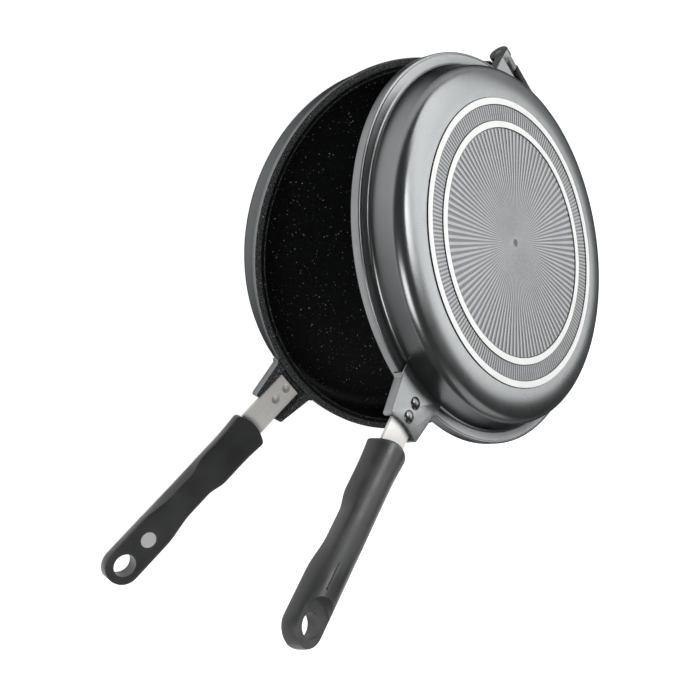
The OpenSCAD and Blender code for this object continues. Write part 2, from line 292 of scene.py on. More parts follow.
def lathe(profile: Sequence[Point2], centre: Point2 = (0.0, 0.0), sides: int = 96) -> bmesh.types.BMesh:
    """Turned solid about an upright axis.

    Args:
        profile: Radius and height of its points, from the axis round the outside to the axis.
        centre: Place of the axis.
        sides: Number of steps round the axis.

    Returns:
        The solid, closed, with faces outwards.
    """
    bm = bmesh.new()
    first = bm.verts.new((centre[0], centre[1], profile[0][1]))
    last = bm.verts.new((centre[0], centre[1], profile[-1][1]))
    rows = [ring_row(bm, r, z, sides, centre) for r, z in profile[1:-1]]
    for i in range(sides):
        j = (i + 1) % sides
        bm.faces.new((first, rows[0][j], rows[0][i]))
        bm.faces.new((last, rows[-1][i], rows[-1][j]))
        for row, following in zip(rows, rows[1:]):
            bm.faces.new((row[i], row[j], following[j], following[i]))
    bmesh.ops.recalc_face_normals(bm, faces=bm.faces)
    return bm


def rod(radius: float, x0: float, x1: float, y: float, bevel: float = 0.0) -> bmesh.types.BMesh:
    """Round rod along X, on the parting plane.

    Args:
        radius: Radius of the rod.
        x0: Its left end.
        x1: Its right end.
        y: Distance of its axis from the middle of the pan.
        bevel: Width of the rounding of its ends.

    Returns:
        The rod, closed, with faces outwards.
    """
    bm = disc(radius, x0, x1, bevel, sides=BAR_SIDES)
    turn = Matrix.Rotation(math.radians(90.0), 4, "Y")
    bmesh.ops.transform(bm, matrix=Matrix.Translation((0.0, y, 0.0)) @ turn, verts=bm.verts)
    return bm


def set_slots(obj: bpy.types.Object, materials: Sequence[bpy.types.Material]) -> None:
    """Gives an object new materials.

    Args:
        obj: The object.
        materials: Its materials, in the order of their slots.
    """
    if obj.data.materials:
        obj.data.materials.clear()
    for material in materials:
        obj.data.materials.append(material)


def map_flat(obj: bpy.types.Object, width: float) -> None:
    """Writes a UV map named Flat that looks straight down on a piece in its half's frame.

    Args:
        obj: The piece, before it is placed.
        width: Width in millimetres that the map's unit square covers.
    """
    mesh = obj.data
    for layer in list(mesh.uv_layers):
        mesh.uv_layers.remove(layer)
    layer = mesh.uv_layers.new(name="Flat")
    places = np.empty(len(mesh.vertices) * 3, np.float32)
    corners = np.empty(len(mesh.loops), np.int32)
    mesh.vertices.foreach_get("co", places)
    mesh.loops.foreach_get("vertex_index", corners)
    flat = places.reshape(-1, 3)[corners, :2] / width + 0.5
    layer.data.foreach_set("uv", flat.astype(np.float32).ravel())


def tag_faces(obj: bpy.types.Object, index: int) -> bpy.types.Object:
    """Puts all faces of an object in one material slot.

    Args:
        obj: The object.
        index: The slot's number.

    Returns:
        The same object.
    """
    obj.data.polygons.foreach_set("material_index", np.full(len(obj.data.polygons), index, np.int32))
    return obj


@dataclass(frozen=True)
class Finishes:
    """The materials of the whole object."""

    paint: bpy.types.Material
    coating: bpy.types.Material
    lit_stipple: bpy.types.Material
    machined: bpy.types.Material
    base: bpy.types.Material
    rays: bpy.types.Material
    tang: bpy.types.Material
    rivet: bpy.types.Material
    set_head: bpy.types.Material
    grip: bpy.types.Material
    magnet: bpy.types.Material
    hinge: bpy.types.Material
    pin: bpy.types.Material
    seal: bpy.types.Material
    screw: bpy.types.Material
    brass: bpy.types.Material


class NodeTree:
    """Short ways to add nodes and links to a node tree."""

    def __init__(self, tree: bpy.types.NodeTree) -> None:
        """Wraps a tree and empties it."""
        self.tree = tree
        tree.nodes.clear()

    def add(self, kind: str, **values: object) -> bpy.types.Node:
        """Adds a node and sets its properties and inputs.

        Args:
            kind: The node's type.
            values: Properties of the node by name; an input is given by its name with
                underscores for spaces.

        Returns:
            The node.
        """
        node = self.tree.nodes.new(kind)
        for key, value in values.items():
            if hasattr(node, key):
                setattr(node, key, value)
            else:
                node.inputs[key.replace("_", " ")].default_value = value
        return node

    def link(self, source: bpy.types.NodeSocket, target: bpy.types.NodeSocket) -> None:
        """Links an output to an input."""
        self.tree.links.new(source, target)

    def math(self, operation: str, first: object, second: object = 0.0) -> bpy.types.NodeSocket:
        """Adds a Math node.

        Args:
            operation: What it works out.
            first: Its first value, a socket or a number.
            second: Its second value.

        Returns:
            Its output.
        """
        node = self.tree.nodes.new("ShaderNodeMath")
        node.operation = operation
        for socket, value in zip(node.inputs, (first, second)):
            if isinstance(value, bpy.types.NodeSocket):
                self.link(value, socket)
            else:
                socket.default_value = float(value)
        return node.outputs[0]

    def ramp(self, factor: bpy.types.NodeSocket, stops: Sequence[Point2]) -> bpy.types.NodeSocket:
        """Adds a grey Color Ramp.

        Args:
            factor: The value that it reads.
            stops: Place and grey of each stop.

        Returns:
            Its colour output.
        """
        node = self.tree.nodes.new("ShaderNodeValToRGB")
        elements = node.color_ramp.elements
        while len(elements) < len(stops):
            elements.new(0.5)
        for element, (place, grey) in zip(elements, stops):
            element.position = place
            element.color = (grey, grey, grey, 1.0)
        self.link(factor, node.inputs[0])
        return node.outputs[0]

    def mix(self, factor: object, first: object, second: object) -> bpy.types.NodeSocket:
        """Adds a colour Mix node.

        Args:
            factor: Share of the second colour, a socket or a number.
            first: The first colour, a socket or three numbers.
            second: The second colour.

        Returns:
            Its output.
        """
        node = self.tree.nodes.new("ShaderNodeMix")
        node.data_type = "RGBA"
        for socket, value in zip((node.inputs[0], node.inputs[6], node.inputs[7]), (factor, first, second)):
            if isinstance(value, bpy.types.NodeSocket):
                self.link(value, socket)
            elif isinstance(value, tuple):
                socket.default_value = (*value, 1.0)
            else:
                socket.default_value = value
        return node.outputs[2]


def shader_group(name: str, inputs: dict[str, float],
                 outputs: Sequence[str]) -> tuple[NodeTree, bpy.types.Node, bpy.types.Node]:
    """Starts a shader node group.

    Args:
        name: Name of the group.
        inputs: Its number inputs and their defaults.
        outputs: Its number outputs; one named Normal is a vector.

    Returns:
        The tree, its input node and its output node.
    """
    group = bpy.data.node_groups.new(name, "ShaderNodeTree")
    for key, value in inputs.items():
        socket = group.interface.new_socket(key, in_out="INPUT", socket_type="NodeSocketFloat")
        socket.default_value = value
    for key in outputs:
        kind = "NodeSocketVector" if key == "Normal" else "NodeSocketFloat"
        group.interface.new_socket(key, in_out="OUTPUT", socket_type=kind)
    tree = NodeTree(group)
    return tree, tree.add("NodeGroupInput"), tree.add("NodeGroupOutput")


def grain_group() -> bpy.types.NodeTree:
    """Fine grain: a small variation for colour and roughness, and a bumped normal.

    Returns:
        The group, with inputs Scale, Variation and Depth and outputs Shade and Normal.
    """
    tree, source, result = shader_group(
        "FineGrain", {"Scale": 900.0, "Variation": 0.1, "Depth": 0.00004}, ("Shade", "Normal"))
    place = tree.add("ShaderNodeTexCoord").outputs["Object"]
    fine = tree.add("ShaderNodeTexNoise", Detail=3.0, Roughness=0.6)
    tree.link(place, fine.inputs["Vector"])
    tree.link(source.outputs["Scale"], fine.inputs["Scale"])
    broad = tree.add("ShaderNodeTexNoise", Scale=48.0, Detail=1.0)
    tree.link(place, broad.inputs["Vector"])
    patches = tree.ramp(broad.outputs["Fac"], ((0.34, 0.0), (0.66, 1.0)))
    both = tree.math("ADD", tree.math("MULTIPLY", fine.outputs["Fac"], 0.5),
                     tree.math("MULTIPLY", patches, 0.5))
    swing = tree.math("MULTIPLY", tree.math("SUBTRACT", both, 0.5), source.outputs["Variation"])
    tree.link(tree.math("ADD", tree.math("MULTIPLY", swing, 2.0), 1.0), result.inputs["Shade"])
    bump = tree.add("ShaderNodeBump", Strength=1.0)
    tree.link(fine.outputs["Fac"], bump.inputs["Height"])
    tree.link(source.outputs["Depth"], bump.inputs["Distance"])
    tree.link(bump.outputs["Normal"], result.inputs["Normal"])
    return tree.tree


def edge_wear_and_highlight_group() -> bpy.types.NodeTree:
    """Edge wear and painted edge highlight: a mask that is 1 on sharp outer edges and 0 elsewhere.

    Returns:
        The group, with input Amount and output Mask.
    """
    tree, source, result = shader_group("EdgeWearAndHighlight", {"Amount": 0.5}, ("Mask",))
    sharp = tree.ramp(tree.add("ShaderNodeNewGeometry").outputs["Pointiness"], ((0.5, 0.0), (0.56, 1.0)))
    patch = tree.add("ShaderNodeTexNoise", Scale=140.0, Detail=4.0)
    tree.link(tree.add("ShaderNodeTexCoord").outputs["Object"], patch.inputs["Vector"])
    broken = tree.math("MULTIPLY", sharp, tree.ramp(patch.outputs["Fac"], ((0.3, 0.25), (0.6, 1.0))))
    tree.link(tree.math("MULTIPLY", broken, source.outputs["Amount"]), result.inputs["Mask"])
    return tree.tree


def brushed_group() -> bpy.types.NodeTree:
    """Brushing along Y: long fine scratches.

    Returns:
        The group, with inputs Pitch and Depth and outputs Shade and Normal.
    """
    tree, source, result = shader_group("Brushed", {"Pitch": 2600.0, "Depth": 0.00001}, ("Shade", "Normal"))
    stretch = tree.add("ShaderNodeMapping")
    stretch.inputs["Scale"].default_value = (1.0, 0.02, 1.0)
    tree.link(tree.add("ShaderNodeTexCoord").outputs["Object"], stretch.inputs["Vector"])
    noise = tree.add("ShaderNodeTexNoise", Detail=4.0, Roughness=0.7)
    tree.link(stretch.outputs["Vector"], noise.inputs["Vector"])
    tree.link(source.outputs["Pitch"], noise.inputs["Scale"])
    tree.link(tree.ramp(noise.outputs["Fac"], ((0.3, 0.88), (0.7, 1.06))), result.inputs["Shade"])
    bump = tree.add("ShaderNodeBump", Strength=1.0)
    tree.link(noise.outputs["Fac"], bump.inputs["Height"])
    tree.link(source.outputs["Depth"], bump.inputs["Distance"])
    tree.link(bump.outputs["Normal"], result.inputs["Normal"])
    return tree.tree


def dots_group() -> bpy.types.NodeTree:
    """Pressed dots: a fine pattern of dots on circles about the middle of the Flat map.

    Returns:
        The group, with inputs Circles and Spokes and outputs Shade and Height.
    """
    tree, source, result = shader_group(
        "PressedDots", {"Circles": 130.0, "Spokes": 180.0}, ("Shade", "Height"))
    place = tree.add("ShaderNodeUVMap", uv_map="Flat").outputs["UV"]
    centred = tree.add("ShaderNodeVectorMath", operation="SUBTRACT")
    tree.link(place, centred.inputs[0])
    centred.inputs[1].default_value = (0.5, 0.5, 0.0)
    parts = tree.add("ShaderNodeSeparateXYZ")
    tree.link(centred.outputs[0], parts.inputs[0])
    length = tree.add("ShaderNodeVectorMath", operation="LENGTH")
    tree.link(centred.outputs[0], length.inputs[0])
    angle = tree.math("ARCTAN2", parts.outputs["Y"], parts.outputs["X"])
    out = tree.math("MULTIPLY", length.outputs["Value"], 2.0 * math.pi)
    circles = tree.math("SINE", tree.math("MULTIPLY", out, source.outputs["Circles"]))
    spokes = tree.math("SINE", tree.math("MULTIPLY", angle, source.outputs["Spokes"]))
    dots = tree.math("MULTIPLY", circles, spokes)
    tree.link(tree.math("ADD", tree.math("MULTIPLY", dots, 0.22), 1.0), result.inputs["Shade"])
    tree.link(tree.math("ADD", tree.math("MULTIPLY", dots, 0.5), 0.5), result.inputs["Height"])
    return tree.tree


@dataclass(frozen=True)
class Finish:
    """A finish on the Principled shader, with grain, edge wear with a painted edge highlight, pressed dots or
    brushing.

    The colour is linear. Brushing is left out where its depth is 0, and the grain is used in its place.
    """

    name: str
    colour: Colour
    roughness: float
    metallic: float = 0.0
    specular: float = 0.5
    edge_tint: float = 1.0
    grain_scale: float = 900.0
    grain_shade: float = 0.1
    grain_depth: float = 0.0
    edge_wear_and_highlight: float = 0.0
    worn_lit_edge_colour: Colour = (0.5, 0.5, 0.5)
    brushed_depth: float = 0.0
    dot_depth: float = 0.0

    def build(self, groups: dict[str, bpy.types.NodeTree]) -> bpy.types.Material:
        """Makes the material.

        Args:
            groups: The shared shader groups by name.

        Returns:
            The material.
        """
        material = bpy.data.materials.new(self.name)
        material.use_nodes = True
        tree = NodeTree(material.node_tree)
        shader = tree.add("ShaderNodeBsdfPrincipled", Metallic=self.metallic, Roughness=self.roughness)
        shader.inputs["Specular IOR Level"].default_value = self.specular
        shader.inputs["Specular Tint"].default_value = (self.edge_tint, self.edge_tint, self.edge_tint, 1.0)
        tree.link(shader.outputs["BSDF"], tree.add("ShaderNodeOutputMaterial").inputs["Surface"])
        effect = tree.add("ShaderNodeGroup")
        if self.brushed_depth > 0.0:
            effect.node_tree = groups["brushed"]
            effect.inputs["Depth"].default_value = self.brushed_depth
        else:
            effect.node_tree = groups["grain"]
            effect.inputs["Scale"].default_value = self.grain_scale
            effect.inputs["Variation"].default_value = self.grain_shade
            effect.inputs["Depth"].default_value = self.grain_depth
        strength = effect.outputs["Shade"]
        normal = effect.outputs["Normal"]
        if self.dot_depth > 0.0:
            dots = tree.add("ShaderNodeGroup")
            dots.node_tree = groups["dots"]
            strength = tree.math("MULTIPLY", strength, dots.outputs["Shade"])
            pressed = tree.add("ShaderNodeBump", Strength=1.0, Distance=self.dot_depth)
            tree.link(dots.outputs["Height"], pressed.inputs["Height"])
            tree.link(normal, pressed.inputs["Normal"])
            normal = pressed.outputs["Normal"]
        shade = tree.add("ShaderNodeVectorMath", operation="SCALE")
        shade.inputs[0].default_value = self.colour
        tree.link(strength, shade.inputs["Scale"])
        colour = shade.outputs[0]
        # Sharp edges take a lighter colour: edge wear and a painted edge highlight.
        if self.edge_wear_and_highlight > 0.0:
            edges = tree.add("ShaderNodeGroup")
            edges.node_tree = groups["edges"]
            edges.inputs["Amount"].default_value = self.edge_wear_and_highlight
            colour = tree.mix(edges.outputs["Mask"], colour, self.worn_lit_edge_colour)
        tree.link(colour, shader.inputs["Base Color"])
        tree.link(tree.math("MULTIPLY", effect.outputs["Shade"], self.roughness), shader.inputs["Roughness"])
        tree.link(normal, shader.inputs["Normal"])
        return material


@dataclass(frozen=True)
class SpeckledCoating:
    """Black non-stick coating: sprayed texture and pale specks of several sizes.

    Each row of cells gives a pattern's scale, the radius of its specks in a cell and the share of
    its cells that have one.
    """

    name: str = "speckled_coating"
    colour: Colour = (0.005, 0.0054, 0.006)
    spray: Colour = (0.02, 0.021, 0.022)
    speck: Colour = (0.46, 0.49, 0.51)
    mist_from: float = 0.5
    mist_soft: float = 0.14
    roughness: float = 0.38
    ior: float = 1.22
    pitted: float = 0.00003
    cells: tuple[Point3, ...] = ((620.0, 0.2, 0.16), (330.0, 0.15, 0.2), (170.0, 0.09, 0.3))

    def build(self) -> bpy.types.Material:
        """Makes the material.

        Returns:
            The material.
        """
        material = bpy.data.materials.new(self.name)
        material.use_nodes = True
        tree = NodeTree(material.node_tree)
        shader = tree.add("ShaderNodeBsdfPrincipled", Roughness=self.roughness, IOR=self.ior)
        tree.link(shader.outputs["BSDF"], tree.add("ShaderNodeOutputMaterial").inputs["Surface"])
        place = tree.add("ShaderNodeTexCoord").outputs["Object"]
        mist = tree.add("ShaderNodeTexNoise", Scale=1300.0, Detail=2.0, Roughness=0.7)
        tree.link(place, mist.inputs["Vector"])
        stops = ((self.mist_from, 0.0), (self.mist_from + self.mist_soft, 1.0))
        colour = tree.mix(tree.ramp(mist.outputs["Fac"], stops), self.colour, self.spray)
        mask: bpy.types.NodeSocket | None = None
        for scale, size, share in self.cells:
            cells = tree.add("ShaderNodeTexVoronoi", Scale=scale)
            tree.link(place, cells.inputs["Vector"])
            near = tree.math("LESS_THAN", cells.outputs["Distance"], size)
            pick = tree.add("ShaderNodeSeparateColor")
            tree.link(cells.outputs["Color"], pick.inputs[0])
            chosen = tree.math("LESS_THAN", pick.outputs[0], share)
            spot = tree.math("MULTIPLY", tree.math("MULTIPLY", near, chosen), pick.outputs[1])
            mask = spot if mask is None else tree.math("MAXIMUM", mask, spot)
        tree.link(tree.mix(mask, colour, self.speck), shader.inputs["Base Color"])
        bump = tree.add("ShaderNodeBump", Strength=1.0, Distance=self.pitted)
        tree.link(mist.outputs["Fac"], bump.inputs["Height"])
        tree.link(bump.outputs["Normal"], shader.inputs["Normal"])
        return material


def geometry_group(name: str, sizes: Sequence[str], finishes: Sequence[str]) -> bpy.types.GeometryNodeTree:
    """Starts a Geometry Nodes tree whose pieces are counted, sized and dressed from outside.

    Args:
        name: Name of the tree.
        sizes: Names of its number inputs, which follow the whole number Count.
        finishes: Names of its material inputs.

    Returns:
        The tree with its sockets.
    """
    group = bpy.data.node_groups.new(name, "GeometryNodeTree")
    sockets = [("Geometry", "NodeSocketGeometry"), ("Count", "NodeSocketInt")]
    sockets += [(key, "NodeSocketFloat") for key in sizes]
    sockets += [(key, "NodeSocketMaterial") for key in finishes]
    for key, kind in sockets:
        group.interface.new_socket(key, in_out="INPUT", socket_type=kind)
    group.interface.new_socket("Geometry", in_out="OUTPUT", socket_type="NodeSocketGeometry")
    return group


def grow(name: str, group: bpy.types.GeometryNodeTree, values: dict[str, object]) -> bpy.types.Object:
    """Runs a Geometry Nodes tree on an empty carrier and keeps its result as a plain mesh.

    Args:
        name: Name of the piece.
        group: The tree.
        values: The tree's inputs by name.

    Returns:
        The piece in its half's frame.
    """
    carrier = new_object(name + "_carrier", bpy.data.meshes.new(name))
    modifier = carrier.modifiers.new("Grow", "NODES")
    modifier.node_group = group
    for item in group.interface.items_tree:
        if item.in_out == "INPUT" and item.name in values:
            modifier[item.identifier] = values[item.name]
    return evaluated_copy(carrier, name)


@dataclass(frozen=True)
class PanShell:
    """One cast pan half: bowl, front lug, rear lug and knuckles. Sizes in millimetres."""

    half: Half
    depth: float
    rim_h: float
    ledge: float
    draft: float
    wall_t: float
    knuckles: tuple[tuple[float, float], ...]
    reliefs: tuple[tuple[float, float], ...]
    rear_half: float
    rear_corner: float
    groove: Point2
    rim_r: float = 150.0
    floor_t: float = 3.4
    shoulder_r: float = 9.0
    corner_r: float = 12.0
    base_fall: float = 1.8
    base_flat_r: float = 115.0
    lip_r: float = 1.2
    fillet: float = 2.4
    edge_round: float = 0.9
    half_gap: float = 0.15
    ring_h: float = 0.9
    ring_w: float = 5.0
    rings: tuple[float, float] = (109.7, 92.3)
    bead_r: float = 148.5
    bead_deep: float = 0.5
    seal_r: float = 143.6
    knuckle_r: float = 8.2
    sweep_gap: float = 0.8
    segments: int = 288
    lug_root_half: float = 21.2
    lug_tip_half: float = 16.8
    lug_end: float = 180.0
    lug_front: float = 137.0
    lug_hollow: float = 3.6
    lug_top: float = 10.5
    plate_t: float = 3.0
    skirt_t: float = 3.4
    skirt_z: float = 2.6
    lug_corner: float = 2.4
    lug_flare: float = 2.6
    lug_root_in: float = 0.6
    groove_chamfer: float = 0.4
    groove_clear: float = 0.6
    web_in: float = 2.0
    pin_back: float = 5.0
    bore_r: float = 3.55
    bore_half: float = 90.0
    overshoot: float = 5.0

    PAINT = 0
    COATING = 1
    MACHINED = 2
    BASE = 3
    LIT_STIPPLE = 4

    @property
    def wall_r(self) -> float:
        """Outer radius of the wall at its foot."""
        return self.rim_r - self.ledge

    @property
    def axis_y(self) -> float:
        """Distance of the hinge's axis from the middle."""
        return self.rim_r + self.pin_back

    @property
    def lug_rear(self) -> float:
        """Distance of the rear lug's edge from the middle."""
        return self.axis_y - self.knuckle_r - self.sweep_gap

    def section(self) -> list[tuple[float, float, int]]:
        """Cross-section from the bottom of the seal groove round the outside and back inside.

        Returns:
            Radius, height and finish of the stretch that starts there.
        """
        gap = self.half_gap
        chamfer = self.groove_chamfer
        edge_r = self.rim_r - self.edge_round
        width, deep = self.groove
        outer_groove = self.seal_r + width / 2
        inner_groove = self.seal_r - width / 2
        top_r = self.wall_r - self.draft
        shoulder_z = self.depth - self.base_fall - self.shoulder_r * math.sin(math.radians(80.0))
        floor_z = self.depth - self.floor_t
        inner_r = self.wall_r - self.wall_t
        inner_top_r = top_r - self.wall_t
        paint: list[Point2] = []
        coat: list[Point2] = [(outer_groove, gap + deep), (outer_groove, gap + chamfer),
                              (outer_groove + chamfer, gap), (edge_r, gap)]
        paint += arc((edge_r, gap + self.edge_round), self.edge_round, -90.0, 0.0, 4)
        paint += arc((edge_r, self.rim_h - self.edge_round), self.edge_round, 0.0, 90.0, 4)
        paint += [(self.bead_r, self.rim_h), (self.bead_r - 0.15, self.rim_h - self.bead_deep),
                  (self.bead_r - 0.75, self.rim_h - self.bead_deep), (self.bead_r - 0.9, self.rim_h)]
        paint += arc((self.wall_r + self.fillet, self.rim_h + self.fillet), self.fillet, -90.0, -180.0, 6)
        paint += arc((top_r - self.shoulder_r, shoulder_z), self.shoulder_r, 0.0, 72.0, 12)
        paint += self.slope_points(paint[-1], (self.base_flat_r, self.depth), 6)
        # The rim's flats take the lighter stippled coating: painted light against the darker coating inside
        # the bowl.
        result = [(r, z, self.LIT_STIPPLE) for r, z in coat] + [(r, z, self.PAINT) for r, z in paint]
        # The groove's outer chamfer takes the grey paint: a thin lighter line, partly a worn edge and partly
        # a painted highlight.
        result[1] = (*coat[1], self.PAINT)
        for radius in self.rings:
            result += self.ring_points(radius)
        result += [(r, self.depth, self.BASE) for r in (60.0, 30.0, 12.0)]
        result.append((0.0, self.depth, self.COATING))
        result += [(r, floor_z, self.COATING) for r in (0.0, 40.0, 80.0, 112.0)]
        result += [(r, z, self.COATING) for r, z in arc(
            (inner_top_r - self.corner_r, floor_z - self.corner_r), self.corner_r, 90.0, 0.0, 14)]
        lip = [(r, z, self.COATING) for r, z in arc(
            (inner_r + self.lip_r, gap + self.lip_r), self.lip_r, 180.0, 270.0, 6)]
        lip[-1] = (*lip[-1][:2], self.LIT_STIPPLE)
        result += lip
        # The groove's inner chamfer takes the grey paint: a thin lighter line, partly a worn edge and partly
        # a painted highlight.
        result += [(inner_groove - chamfer, gap, self.PAINT), (inner_groove, gap + chamfer, self.COATING),
                   (inner_groove, gap + deep, self.COATING)]
        return result

    @staticmethod
    def slope_points(start: Point2, end: Point2, steps: int) -> list[Point2]:
        """Gently rounded slope between the shoulder and the flat of the base.

        Args:
            start: Its outer end.
            end: Its inner end.
            steps: Number of its points.

        Returns:
            Its points, without the first.
        """
        result = []
        for i in range(1, steps + 1):
            t = i / steps
            r = start[0] + (end[0] - start[0]) * t
            z = start[1] + (end[1] - start[1]) * (1.0 - (1.0 - t) ** 2.2)
            result.append((r, z))
        return result

    def ring_points(self, radius: float) -> list[tuple[float, float, int]]:
        """Section of one raised ring with its machined top, and black sides that paint shade along its edges.

        Args:
            radius: Outer radius of the ring.

        Returns:
            Its stretch of the cross-section.
        """
        top = self.depth + self.ring_h
        inner = radius - self.ring_w
        edge = 0.18
        foot = self.depth - 0.15
        # The ring's sides and the shallow groove round its foot take the black coating: painted shade along
        # the ring's edges.
        return [(radius + 0.5, self.depth, self.COATING), (radius + 0.4, foot, self.COATING),
                (radius + 0.05, foot, self.COATING), (radius, top - edge, self.MACHINED),
                (radius - edge, top, self.MACHINED), (inner + edge, top, self.MACHINED),
                (inner, top - edge, self.COATING), (inner - 0.05, foot, self.COATING),
                (inner - 0.4, foot, self.COATING), (inner - 0.5, self.depth, self.BASE)]

    def bowl(self) -> bpy.types.Object:
        """Turns the cross-section into the bowl.

        Returns:
            The bowl in its half's frame.
        """
        section = self.section()
        count = self.segments
        bm = bmesh.new()
        rings: list[list[bmesh.types.BMVert]] = []
        for radius, height, _ in section:
            if radius == 0.0:
                rings.append([bm.verts.new((0.0, 0.0, height))])
                continue
            rings.append(ring_row(bm, radius, height, count))
        total = len(section)
        for row in range(total):
            here, there = rings[row], rings[(row + 1) % total]
            finish = section[row][2]
            if len(here) == 1 and len(there) == 1:
                continue
            for i in range(count):
                j = (i + 1) % count
                if len(here) == 1:
                    corners = [here[0], there[j], there[i]]
                elif len(there) == 1:
                    corners = [here[i], here[j], there[0]]
                else:
                    corners = [here[i], here[j], there[j], there[i]]
                bm.faces.new(corners).material_index = finish
        bmesh.ops.recalc_face_normals(bm, faces=bm.faces)
        return bmesh_object(self.half.node("pan_shell"), bm)

    def lug_outline(self) -> list[Point2]:
        """Outline of the front lug, hollow at its end, flared where it leaves the rim.

        Returns:
            The outline's points.
        """
        half, tip, end = self.lug_root_half, self.lug_tip_half, self.lug_end
        hollow, corner, flare = self.lug_hollow, self.lug_corner, self.lug_flare
        bow_r = (tip ** 2 + hollow ** 2) / (2 * hollow)
        reach = math.degrees(math.asin((tip - corner) / bow_r))
        bow = arc((0.0, -end + hollow - bow_r), bow_r, 90.0 + reach, 90.0 - reach, 20)
        rise = bow[-1][1]
        tips = arc((tip - corner, rise + corner), corner, -78.0, 0.0, 5)
        root_y = -self.rim_r + self.lug_root_in
        sweep = arc((half + flare, root_y - flare), flare, 180.0, 96.0, 8)
        right = [*tips, *sweep, (half + flare, -self.lug_front)]
        left = [(-x, y) for x, y in reversed(right)]
        return left + bow + right

    def bowl_space(self, top: float) -> bpy.types.Object:
        """Cutter of the bowl's space, for a lug that reaches up to a height."""
        radius = self.wall_r - self.wall_t / 2
        return bmesh_object("bowl_space", disc(radius, -self.overshoot, top, sides=CUTTER_SIDES))

    def front_lug(self) -> bpy.types.Object:
        """Makes the front lug: a plate with two side skirts.

        Returns:
            The lug in its half's frame.
        """
        body = bmesh_object("lug", prism(self.lug_outline(), self.skirt_z, self.lug_top, 1.0, 4))
        inner = self.lug_tip_half - self.skirt_t
        end, root = -self.lug_end - self.overshoot, -self.rim_r + 1.0
        channel = [(-inner, end), (inner, end), (inner, root), (-inner, root)]
        low, high = self.skirt_z - self.overshoot, self.lug_top - self.plate_t
        cuts = [bmesh_object("channel", prism(channel, low, high)),
                self.bowl_space(self.lug_top + self.overshoot)]
        return tag_faces(boolean(body, cuts, "DIFFERENCE"), self.PAINT)

    def rear_lug(self) -> bpy.types.Object:
        """Makes the plate that carries the knuckles, clear of the bowl and of the seal's groove.

        Returns:
            The plate in its half's frame.
        """
        half, corner, rear = self.rear_half, self.rear_corner, self.lug_rear
        right = [(half, 100.0), (half, rear - corner), (half - corner * 0.3, rear - corner * 0.3),
                 (half - corner, rear)]
        outline = right + [(-x, y) for x, y in reversed(right)]
        plate = bmesh_object("rear_plate", prism(outline, self.half_gap, self.knuckle_r, 0.4, 2))
        width, deep = self.groove
        groove_r = self.seal_r + width / 2 + self.groove_clear
        groove_top = self.half_gap + deep + self.groove_clear / 2
        groove = disc(groove_r, -self.overshoot, groove_top, sides=CUTTER_SIDES)
        cuts = [self.bowl_space(self.knuckle_r + self.overshoot), bmesh_object("groove_space", groove)]
        return tag_faces(boolean(plate, cuts, "DIFFERENCE"), self.PAINT)

    def knuckle(self, x0: float, x1: float) -> bpy.types.Object:
        """Makes one knuckle with its web.

        Args:
            x0: Its left end.
            x1: Its right end.

        Returns:
            The knuckle in its half's frame.
        """
        barrel = bmesh_object("knuckle", rod(self.knuckle_r, x0, x1, self.axis_y, 0.5))
        front = self.lug_rear - self.web_in
        web = [(x0, front), (x1, front), (x1, self.axis_y), (x0, self.axis_y)]
        block = bmesh_object("web", prism(web, self.half_gap, self.knuckle_r - 0.02))
        return tag_faces(boolean(barrel, [block], "UNION"), self.PAINT)

    def build(self, placing: Placing, finishes: Finishes) -> bpy.types.Object:
        """Makes the whole casting in its place.

        Args:
            placing: Where the halves lie.
            finishes: The object's materials.

        Returns:
            The casting, ready to ride.
        """
        shell = self.bowl()
        parts = [self.front_lug(), self.rear_lug()]
        parts += [self.knuckle(x0, x1) for x0, x1 in self.knuckles]
        slots = (finishes.paint, finishes.coating, finishes.machined, finishes.base, finishes.lit_stipple)
        for obj in (shell, *parts):
            set_slots(obj, slots)
        shell = boolean(shell, parts, "UNION")
        cuts = [bmesh_object("relief", rod(self.knuckle_r + self.sweep_gap, x0, x1, self.axis_y))
                for x0, x1 in self.reliefs]
        cuts.append(bmesh_object("bore", rod(self.bore_r, -self.bore_half, self.bore_half, self.axis_y)))
        for cut in cuts:
            set_slots(tag_faces(cut, self.COATING), slots)
        shell = boolean(shell, cuts, "DIFFERENCE")
        self.coat_inner_faces(shell)
        map_flat(shell, 2.0 * self.rim_r)
        place_piece(shell, placing, self.half)
        smooth(shell.data)
        return shell

    def coat_inner_faces(self, shell: bpy.types.Object) -> None:
        """Gives the coating to the hinge, and the lighter stippled coating with its painted light to the
        lugs' inner faces.

        Args:
            shell: The casting in its half's frame.
        """
        channel_half = self.lug_tip_half - self.skirt_t + 0.3
        for face in shell.data.polygons:
            x, y, z = face.center
            inward = face.normal.z < -0.5 and z < 4.0
            channel = y < -self.rim_r and abs(x) < channel_half and z < self.lug_top - 0.5
            hinge = y > 0.0 and math.hypot(x, y) > self.rim_r + 0.5 and face.normal.z < 0.8
            # Faces that look towards the parting plane low down, and the lug's channel, take the lighter
            # stippled coating, which paints light on them.
            if (inward or channel or hinge) and face.material_index == self.PAINT:
                face.material_index = self.COATING if hinge else self.LIT_STIPPLE


def place_piece(obj: bpy.types.Object, placing: Placing, half: Half) -> None:
    """Moves a mesh from its half's frame to the object's frame, with its faces outwards.

    Args:
        obj: The piece.
        placing: Where the halves lie.
        half: The half that it belongs to.
    """
    obj.data.transform(placing.matrix(half))
    if half is Half.LOWER:
        obj.data.flip_normals()
    obj.data.update()


